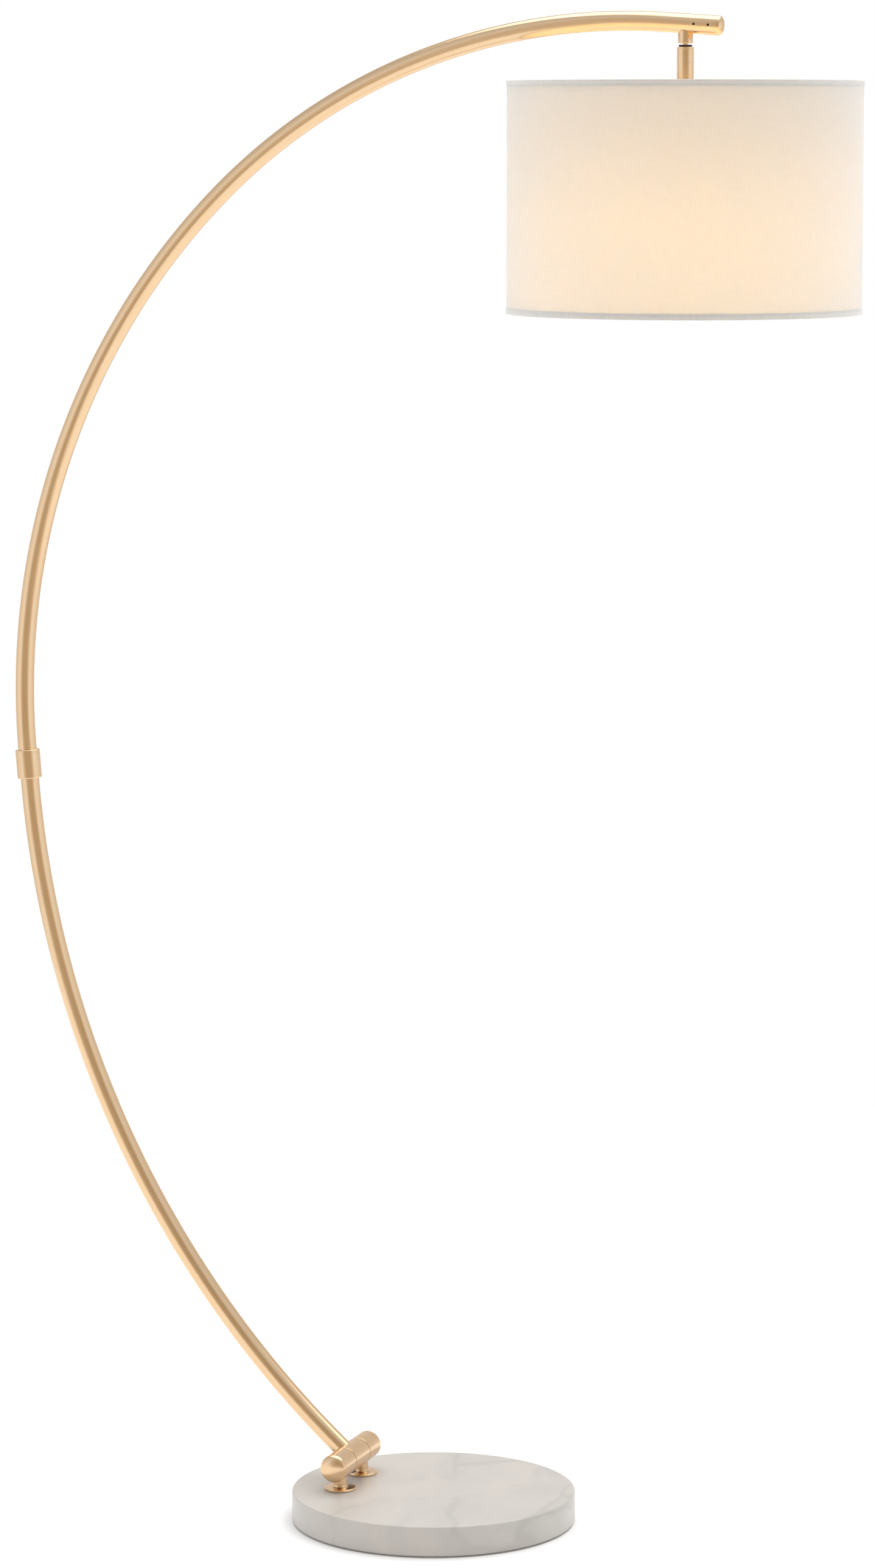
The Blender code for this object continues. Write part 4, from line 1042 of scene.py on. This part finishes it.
def arc_corners(radius, first, last, count=12):
    """Points of a turned arc about the ball's centre, measured from straight up."""
    angles = [first + (last - first) * i / count for i in range(count + 1)]
    return [(radius * sin(angle), radius * cos(angle), 0) for angle in angles]


class LAMP_OT_hanger(bpy.types.Operator):
    """The neck under the arm, saddled to the tube, with the ball's cavity and its retainer"""

    bl_idname = "lamp.hanger"
    bl_label = "Hanger neck"

    def execute(self, context):
        bottom, top = (level - BALL.z for level in levels("hanger_neck"))
        outer = half_width("hanger_neck")
        spigot = 8 * MM
        cavity = half_width("swivel_ball") + PLAY
        lead = 2.6 * MM  # the hole for the lead, wider than the ball's own
        stem, along = arm_point(STEM_AT)
        shoulder = stem.z - TUBE_RADIUS * 0.7 - BALL.z
        corners = [(cavity, bottom, 0)] + arc_corners(cavity, pi / 2, asin(lead / cavity))
        corners += [
            (lead, top, 0), (spigot, top, 0), (spigot, shoulder, 0), (outer, shoulder, 0),
            (outer, bottom, 0.8 * MM),
        ]
        steps = context.scene.lamp_shape.round_steps * 2
        neck = turned("neck", corners, BALL, UP, satin_gold(), steps=steps)
        reach = along * outer * 2
        # the saddle is cut from a sleeve round the spigot, so that the spigot itself stays whole
        sleeve = ring_outline(spigot + TOUCH, outer * 1.3, top + outer, bottom + 1 * MM)
        spare = turned("spare", sleeve, BALL, UP, None)
        combined(spare, [rod(stem - reach, stem + reach, TUBE_RADIUS + TOUCH, SADDLE_STEPS)], "INTERSECT")
        way_in = rod(stem - along * TUBE_RADIUS * 2, stem, lead)
        settle(combined(neck, [spare, way_in], "DIFFERENCE"), "hanger_neck")
        low, high = (level - BALL.z for level in levels("ball_retainer"))
        throat = 5.2 * MM
        seat_low = pi - asin(throat / cavity)
        seat_high = pi / 2 + asin(-high / cavity)
        rim = half_width("ball_retainer")
        ring = arc_corners(cavity, seat_low, seat_high, 8)
        ring += [(rim, high, 0), (rim, low, 0.2 * MM), (5.9 * MM, low, 0.2 * MM)]
        settle(turned("retainer", ring, BALL, UP, satin_gold(), steps=64), "ball_retainer")
        return {"FINISHED"}


class LAMP_OT_swivel(bpy.types.Operator):
    """The hollow ball with its shank, and the washer that the stem turns on"""

    bl_idname = "lamp.swivel"
    bl_label = "Ball swivel"

    def execute(self, context):
        ball = half_width("swivel_ball")
        shank = 3.6 * MM
        end = levels("swivel_ball")[0] - BALL.z
        corners = arc_corners(ball, asin(LEAD_BORE / ball), pi - asin(shank / ball), 20)
        corners += [(shank, end, 0.4 * MM), (LEAD_BORE, end, 0)]
        settle(turned("ball_and_shank", corners, BALL, UP, satin_gold(), steps=64), "swivel_ball")
        low, high = levels("swivel_washer")
        rim = half_width("swivel_washer")
        hole = shank + PLAY
        washer = ring_outline(hole, rim, high, low, inner=0.2 * MM, outer=0.4 * MM)
        settle(turned("stem_washer", washer, SHADE_AXIS, UP, moulded_nylon(), steps=64), "swivel_washer")
        dress(zinc_plate(), "swivel_nut")
        return {"FINISHED"}


# ---------------------------------------------------------------- stem and lampholder

STEM_WALL = 1.25 * MM
SHANK_NUT_BORE = 3.9 * MM  # in the top plug
NIPPLE_BORE = 5.3 * MM  # in the bottom plug and the lampholder's cap


class LAMP_OT_stem(bpy.types.Operator):
    """The stem tube between its turned end plugs"""

    bl_idname = "lamp.stem"
    bl_label = "Stem"

    def execute(self, context):
        edge = context.scene.lamp_shape.edge
        low, high = levels("stem_tube")
        outer = half_width("stem_tube")
        inner = outer - STEM_WALL
        tube = ring_outline(inner, outer, high, low, outer=0.25 * MM)
        settle(turned("stem", tube, SHADE_AXIS, UP, satin_gold()), "stem_tube")
        spigot_low, top = levels("stem_top_plug")
        seat = high + TOUCH
        spigot = inner - TOUCH * 2
        plug = [
            (SHANK_NUT_BORE, top, 0), (outer, top, edge), (outer, seat, 0.25 * MM), (spigot, seat, 0),
            (spigot, spigot_low, 0.3 * MM), (SHANK_NUT_BORE, spigot_low, 0),
        ]
        settle(turned("stem_plug_top", plug, SHADE_AXIS, UP, satin_gold()), "stem_top_plug")
        bottom, spigot_high = levels("stem_bottom_plug")
        seat = low - TOUCH
        plug = [
            (NIPPLE_BORE, spigot_high, 0), (spigot, spigot_high, 0.3 * MM), (spigot, seat, 0),
            (outer, seat, 0.25 * MM), (outer, bottom, edge), (NIPPLE_BORE, bottom, 0),
        ]
        settle(turned("stem_plug_bottom", plug, SHADE_AXIS, UP, satin_gold()), "stem_bottom_plug")
        dress(zinc_plate(), "holder_nipple")
        return {"FINISHED"}


def down_line(radius, start, end, count):
    """An upright stretch of an outline, in enough steps to carry a thread."""
    return [(radius, start + (end - start) * i / count, 0) for i in range(count + 1)]


def threaded(radius, low, high, pitch, wave):
    """Relief of a screw thread between two heights. wave(turn) is its depth along a turn."""

    def relief(at, height, angle):
        if at < radius - TOUCH or not low < height < high:
            return at
        return at - wave(height / pitch - angle / (2 * pi))

    return relief


class LAMP_OT_lampholder(bpy.types.Operator):
    """The pressed cap, the phenolic body with its outside thread, and the ribbed ring nut"""

    bl_idname = "lamp.lampholder"
    bl_label = "Lampholder"

    def execute(self, context):
        low, high = levels("holder_cap")
        outer = half_width("holder_cap")
        wall = 1.2 * MM
        cup = [
            (NIPPLE_BORE, high, 0), (outer, high, 3.5 * MM), (outer, low + 1.2 * MM, 0.3 * MM),
            (outer + 0.4 * MM, low + 0.6 * MM, 0.3 * MM), (outer, low, 0.3 * MM),
            (outer - wall, low, 0.2 * MM), (outer - wall, high - wall, 2.3 * MM),
            (NIPPLE_BORE, high - wall, 0),
        ]
        settle(turned("holder_cup", cup, SHADE_AXIS, UP, satin_gold()), "holder_cap")
        low, high = levels("holder_body")
        radius = half_width("holder_body")
        bore = 14.4 * MM
        roof = high - 8 * MM
        thread_top = levels("holder_cap")[0] - 1 * MM
        thread_low = thread_top - 22 * MM
        pitch = 2.4 * MM
        depth = 0.7 * MM

        def pointed(turn):
            return depth * abs(2 * (turn - floor(turn)) - 1)

        thread = threaded(radius, thread_low, thread_top, pitch, pointed)
        body = [(LEAD_BORE, high, 0), (radius, high, 3 * MM)]
        body += down_line(radius, thread_top, thread_low, 80)
        body += [
            (radius, low + 3 * MM, 0), (radius - 1.5 * MM, low, 1 * MM), (bore, low, 0.6 * MM),
            (bore, roof, 0), (LEAD_BORE, roof, 0),
        ]
        made = turned("holder_shell", body, SHADE_AXIS, UP, pressed_phenolic(), relief=thread)
        settle(made, "holder_body")
        low, high = levels("shade_ring_nut")
        rim = half_width("shade_ring_nut")
        inner = radius + PLAY
        ribs = 32

        def ribbed(at, height, angle):
            if at < rim - 1 * MM or not low + 0.6 * MM < height < high - 0.6 * MM:
                return at
            return at - 0.7 * MM * (0.5 + 0.5 * cos(angle * ribs)) ** 3

        nut = [(inner, high, 0.3 * MM), (rim - 0.6 * MM, high, 0.3 * MM), (rim, high - 0.7 * MM, 0)]
        nut += [(rim, high + (low - high) * share, 0) for share in (0.2, 0.5, 0.8)]
        nut += [(rim, low + 0.7 * MM, 0), (rim - 0.6 * MM, low, 0.3 * MM), (inner, low, 0.3 * MM)]
        made = turned("ring_nut", nut, SHADE_AXIS, UP, pressed_phenolic(), steps=ribs * 12, relief=ribbed)
        settle(made, "shade_ring_nut")
        dress(rolled_brass(), "screw_sleeve", "centre_contact")
        return {"FINISHED"}


# ---------------------------------------------------------------- bulb


class LAMP_OT_bulb(bpy.types.Operator):
    """The frosted globe and its screw cap with a rolled thread"""

    bl_idname = "lamp.bulb"
    bl_label = "Bulb"

    def execute(self, context):
        low, high = levels("bulb_glass")
        globe = half_width("bulb_glass")
        centre = low + globe
        neck = 12 * MM
        wall = 1 * MM
        neck_low = high - 7 * MM
        join = radians(62)

        def side(inset):
            """The globe's outline from its neck to its lowest point, this far inside."""
            start = Vector((neck, neck_low))
            end = Vector((globe * sin(join), centre + globe * cos(join)))
            pull = (start - end).length
            start_way = Vector((0, -pull))
            end_way = Vector((cos(join), -sin(join))) * pull
            points = [(neck - inset, high, 0)]
            count = 12
            for i in range(count):
                t = i / count
                flare = (
                    start * (2 * t**3 - 3 * t**2 + 1) + start_way * (t**3 - 2 * t**2 + t)
                    + end * (3 * t**2 - 2 * t**3) + end_way * (t**3 - t**2)
                )
                points.append((flare.x - inset, flare.y, 0))
            count = 24
            for i in range(count):
                angle = join + (pi - join) * i / count
                points.append(((globe - inset) * sin(angle), centre + (globe - inset) * cos(angle), 0))
            return points + [(0, low + inset, 0)]

        outline = side(0) + side(wall)[::-1]
        settle(turned("bulb_globe", outline, SHADE_AXIS, UP, frosted_glass()), "bulb_glass")
        low, high = levels("bulb_screw_cap")
        radius = half_width("bulb_screw_cap")
        shoulder = high - 4 * MM
        thread_low = low + 4 * MM
        pitch = 3.6 * MM
        depth = 1.0 * MM

        def rolled(turn):
            return depth * (0.5 + 0.5 * cos(2 * pi * turn))

        thread = threaded(radius, thread_low, shoulder, pitch, rolled)
        inside = neck - wall - PLAY
        cap = [
            (0, high, 0), (4.5 * MM, high, 0.5 * MM), (5 * MM, high - 1 * MM, 0.3 * MM),
            (radius - 1 * MM, shoulder + 0.6 * MM, 1 * MM),
        ]
        cap += down_line(radius, shoulder, thread_low, 60)
        cap += [
            (radius - 0.5 * MM, low + 3.3 * MM, 0.3 * MM), (inside, low + 3.3 * MM, 0),
            (inside, low, 0), (0, low, 0),
        ]
        made = turned("bulb_base", cap, SHADE_AXIS, UP, zinc_plate(), closed=False, relief=thread)
        settle(made, "bulb_screw_cap")
        return {"FINISHED"}


# ---------------------------------------------------------------- shade

HEMS = {"shade_top_hem": "rolled_top_hem", "shade_bottom_hem": "rolled_bottom_hem"}
HEM_OUTSIDE = 7 * MM  # how far a strip reaches from the rim
HEM_INSIDE = 4 * MM
HEM_CLOTH = 0.5 * MM
WIRE_RADIUS = 1.75 * MM


def circle(radius, height, steps=192):
    """Points of a level ring about the shade's axis."""
    angles = [2 * pi * step / steps for step in range(steps)]
    return [SHADE_AXIS + Vector((radius * cos(angle), radius * sin(angle), height)) for angle in angles]


class LAMP_OT_shade_frame(bpy.types.Operator):
    """The pressed hub, its three bent arms and the top ring, welded together, and the bottom ring"""

    bl_idname = "lamp.shade_frame"
    bl_label = "Shade frame"

    def execute(self, context):
        low, high = levels("shade_spider")
        hub_top = levels("holder_cap")[0] - TOUCH
        hub_low = levels("shade_ring_nut")[1] + TOUCH
        bore = half_width("holder_body") + PLAY
        rim = half_width("shade_ring_nut")
        wire = WIRE_RADIUS
        ring_height = high - wire
        ring_radius = half_width("shade_bottom_wire") - wire
        hub = ring_outline(bore, rim, hub_top, hub_low, inner=0.2 * MM, outer=0.6 * MM)
        frame_piece = turned("spider", hub, SHADE_AXIS, UP, zinc_plate())
        parts = [swept("spider_ring", circle(ring_radius, ring_height), wire, zinc_plate(), ring=True)]
        arm_wire = wire * 0.9
        arm_level = hub_low + arm_wire * 1.1
        for index in range(3):
            bearing = pi / 2 + 2 * pi * index / 3
            out = Vector((cos(bearing), sin(bearing), 0))
            bends = [
                (rim - 3 * MM, arm_level, 0), (rim + 10 * MM, arm_level, 22 * MM),
                (ring_radius, ring_height, 0),
            ]
            bent = rounded(bends, False, segments=10)
            line = [SHADE_AXIS + out * reach + UP * height for reach, height in bent]
            parts.append(swept(f"spider_arm_{index}", line, arm_wire, zinc_plate()))
            welds = ((line[-1] - out * wire * 0.5, wire * 1.35), (line[0] + out * 2 * MM, wire * 1.2))
            for place, size in welds:
                bead = arc_corners(size, 0, pi, 14)
                parts.append(turned("weld_bead", bead, place, out, zinc_plate(), closed=False, steps=24))
        settle(combined(frame_piece, parts, "UNION"), "shade_spider")
        low, high = levels("shade_bottom_wire")
        ring = swept("bottom_ring", circle(ring_radius, (low + high) / 2), wire, zinc_plate(), ring=True)
        settle(ring, "shade_bottom_wire")
        return {"FINISHED"}


def wall_radius():
    """The outside of the linen, where it isn't lapped."""
    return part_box("shade_drum")[1].x - SHADE_AXIS.x - 0.2 * MM


class LAMP_OT_shade_hems(bpy.types.Operator):
    """The folded linen strips over both rims"""

    bl_idname = "lamp.shade_hems"
    bl_label = "Shade hems"

    def execute(self, context):
        wall_out = wall_radius()
        wall_in = wall_out - context.scene.lamp_shape.shade_wall
        for name, rim_index, way in (("shade_top_hem", 1, -1), ("shade_bottom_hem", 0, 1)):
            rim = levels(name)[rim_index]
            outer = half_width(name)
            out_leg = HEM_OUTSIDE * way
            in_leg = HEM_INSIDE * way
            inside = wall_in - TOUCH
            outside = wall_out + TOUCH
            corners = [
                (inside - HEM_CLOTH, rim, 0.45 * MM), (outer, rim, 0.8 * MM),
                (outer, rim + out_leg * 0.4, 0.8 * MM),
                (outside + HEM_CLOTH * 0.8, rim + out_leg * 0.7, 1.5 * MM),
                (outside + HEM_CLOTH * 0.6, rim + out_leg, 0.2 * MM), (outside, rim + out_leg, 0),
                (outside, rim + HEM_CLOTH * way, 0), (inside, rim + HEM_CLOTH * way, 0),
                (inside, rim + in_leg, 0), (inside - HEM_CLOTH, rim + in_leg, 0.2 * MM),
            ]
            settle(turned(HEMS[name], corners, SHADE_AXIS, UP, hem_linen_painted_paler(), steps=240), name)
        return {"FINISHED"}


class LAMP_OT_shade_wall(bpy.types.Operator):
    """The sheet of linen bonded to its backing, rolled into a drum and lapped at the back"""

    bl_idname = "lamp.shade_wall"
    bl_label = "Shade wall"

    def execute(self, context):
        shape = context.scene.lamp_shape
        low, high = levels("shade_drum")
        wall = shape.shade_wall
        inner = wall_radius() - wall
        lap_angle = shape.lap / inner
        ramp = lap_angle * 0.6
        total = 2 * pi + lap_angle
        steps = 260
        rise = 14  # steps up the wall
        rows = []
        marks = []
        for index in range(steps + 1):
            turn = total * index / steps
            over = min(max((turn - (total - lap_angle - ramp)) / ramp, 0), 1)
            lift = (wall + TOUCH) * over * over * (3 - 2 * over)
            angle = shape.seam_bearing + turn
            out = Vector((cos(angle), sin(angle), 0))
            heights = [low + (high - low) * i / rise for i in range(rise + 1)]
            section = [(inner + wall, z) for z in heights] + [(inner, z) for z in reversed(heights)]
            rows.append([SHADE_AXIS + out * (reach + lift) + UP * z for reach, z in section])
            marks.append(turn * inner)
        ups = [(high - low) * i / rise for i in range(rise + 1)]
        columns = ups + [ups[-1] + wall + up for up in ups] + [ups[-1] * 2 + wall * 2]
        drum = skin("linen_drum", rows, marks, columns, woven_linen(), along_rows=True, capped=True)
        drum.data.materials.append(milky_pvc())
        for face in drum.data.polygons:
            outward = face.center - SHADE_AXIS
            outward.z = 0
            if face.normal.dot(outward.normalized()) < -0.5:  # faces the shade's axis
                face.material_index = 1
        settle(drum, "shade_drum")
        return {"FINISHED"}


class LAMP_OT_leads(bpy.types.Operator):
    """The lead inside the arm and the stem"""

    bl_idname = "lamp.leads"
    bl_label = "Leads"

    def execute(self, context):
        dress(extruded_pvc(), "arm_lead", "stem_lead")
        return {"FINISHED"}


# ---------------------------------------------------------------- studio

# the room's light from behind the lamp (0) to the camera's side (1), which the metal mirrors darkest
ROOM_BAND = (
    (0.0, (0.92, 0.88, 0.84)),
    (0.2, (0.92, 0.88, 0.84)),
    (0.5, (1.06, 1.12, 1.18)),
    (0.78, (1.16, 1.2, 1.26)),
    (0.88, (0.84, 0.78, 0.7)),
    (0.95, (0.62, 0.53, 0.41)),
)
ZENITH_SHARE = 0.55  # of the light at the horizon
SUN_SPREAD = 70
SUN_TILT = (-14, 8)


class LAMP_OT_studio(bpy.types.Operator):
    """A white floor, soft light from all round with a dark side for the metal to mirror, and the camera"""

    bl_idname = "lamp.studio"
    bl_label = "Studio"

    def execute(self, context):
        studio = context.scene.lamp_studio
        self.lay_floor(studio.floor_radius)
        self.light_room(studio)
        facing = Vector((sin(studio.bearing), -cos(studio.bearing), 0))
        right = Vector((cos(studio.bearing), sin(studio.bearing), 0))
        data = bpy.data.cameras.new("camera")
        data.sensor_fit = "VERTICAL"
        data.sensor_height = 36
        data.lens = studio.lens
        data.clip_end = 100
        camera = bpy.data.objects.new("camera", data)
        context.scene.collection.objects.link(camera)
        camera.location = facing * studio.distance + right * studio.side_step + UP * studio.height
        camera.rotation_euler = (pi / 2 - studio.pitch, 0, studio.bearing)
        context.scene.camera = camera
        context.scene.view_settings.view_transform = "Standard"
        return {"FINISHED"}

    def lay_floor(self, radius):
        """The round floor that catches the base's shadow."""
        shape = bmesh.new()
        bmesh.ops.create_circle(shape, cap_ends=True, radius=radius, segments=128)
        mesh = bpy.data.meshes.new("floor")
        shape.to_mesh(mesh)
        shape.free()
        ground = bpy.data.objects.new("floor", mesh)
        bpy.context.scene.collection.objects.link(ground)
        mesh.materials.append(floor_paint())

    def light_room(self, studio):
        """A pale room all round, white to the camera, and one large soft light overhead."""
        world = bpy.data.worlds.new("studio")
        bpy.context.scene.world = world
        world.use_nodes = True
        tree = world.node_tree
        tree.nodes.clear()
        way = add(tree, "ShaderNodeTexCoord").outputs["Generated"]
        dark_side = (sin(studio.bearing), -cos(studio.bearing), 0)
        toward = add(tree, "ShaderNodeVectorMath", {0: way, 1: dark_side}, operation="DOT_PRODUCT")
        share = add(tree, "ShaderNodeMapRange", {"Value": toward.outputs["Value"], "From Min": -1.0})
        ramp = add(tree, "ShaderNodeValToRGB", {0: share})
        ramp.color_ramp.interpolation = "EASE"
        band = ramp.color_ramp.elements
        while len(band) < len(ROOM_BAND):
            band.new(0.5)
        for element, (position, value) in zip(band, ROOM_BAND):
            element.position = position
            element.color = colour(value)
        height = add(tree, "ShaderNodeSeparateXYZ", {0: way}).outputs[2]
        zenith = studio.sky * ZENITH_SHARE
        dim = add(tree, "ShaderNodeMapRange", {"Value": height, "To Min": studio.sky, "To Max": zenith})
        seen = add(tree, "ShaderNodeLightPath").outputs["Is Camera Ray"]
        room = add(tree, "ShaderNodeBackground", {0: ramp, 1: dim})
        white = add(tree, "ShaderNodeBackground", {0: (1, 1, 1, 1), 1: 1.0})
        mixed = add(tree, "ShaderNodeMixShader", {0: seen, 1: room, 2: white})
        add(tree, "ShaderNodeOutputWorld", {0: mixed})
        data = bpy.data.lights.new("overhead", "SUN")
        data.energy = studio.sun
        data.angle = radians(SUN_SPREAD)
        sun = bpy.data.objects.new("overhead", data)
        bpy.context.scene.collection.objects.link(sun)
        sun.rotation_euler = (radians(SUN_TILT[0]), radians(SUN_TILT[1]), studio.bearing)


# ---------------------------------------------------------------- panel and registration

BUILDERS = (
    LAMP_OT_marble_base,
    LAMP_OT_felt_pad,
    LAMP_OT_feet,
    LAMP_OT_hinge_knuckles,
    LAMP_OT_centre_knuckle,
    LAMP_OT_arm_tubes,
    LAMP_OT_arm_collar,
    LAMP_OT_arm_end,
    LAMP_OT_hanger,
    LAMP_OT_swivel,
    LAMP_OT_stem,
    LAMP_OT_lampholder,
    LAMP_OT_bulb,
    LAMP_OT_shade_frame,
    LAMP_OT_shade_hems,
    LAMP_OT_shade_wall,
    LAMP_OT_leads,
    LAMP_OT_studio,
)


class LAMP_PT_builders(bpy.types.Panel):
    """Lists the lamp's builders and their settings"""

    bl_idname = "LAMP_PT_builders"
    bl_label = "Arc Floor Lamp"
    bl_space_type = "VIEW_3D"
    bl_region_type = "UI"
    bl_category = "Lamp"

    def draw(self, context):
        for group in (context.scene.lamp_shape, context.scene.lamp_finish, context.scene.lamp_studio):
            box = self.layout.box()
            for name in group.__annotations__:
                box.prop(group, name)
        for builder in BUILDERS:
            self.layout.operator(builder.bl_idname)


GROUPS = {"lamp_shape": LampShape, "lamp_finish": LampFinish, "lamp_studio": StudioSettings}


def register():
    for name, group in GROUPS.items():
        bpy.utils.register_class(group)
        setattr(bpy.types.Scene, name, PointerProperty(type=group))
    for builder in BUILDERS:
        bpy.utils.register_class(builder)
    bpy.utils.register_class(LAMP_PT_builders)


def unregister():
    bpy.utils.unregister_class(LAMP_PT_builders)
    for builder in reversed(BUILDERS):
        bpy.utils.unregister_class(builder)
    for name, group in GROUPS.items():
        delattr(bpy.types.Scene, name)
        bpy.utils.unregister_class(group)


def main():
    register()
    for builder in BUILDERS:
        section, name = builder.bl_idname.split(".")
        getattr(getattr(bpy.ops, section), name)()


if __name__ == "__main__":
    main()
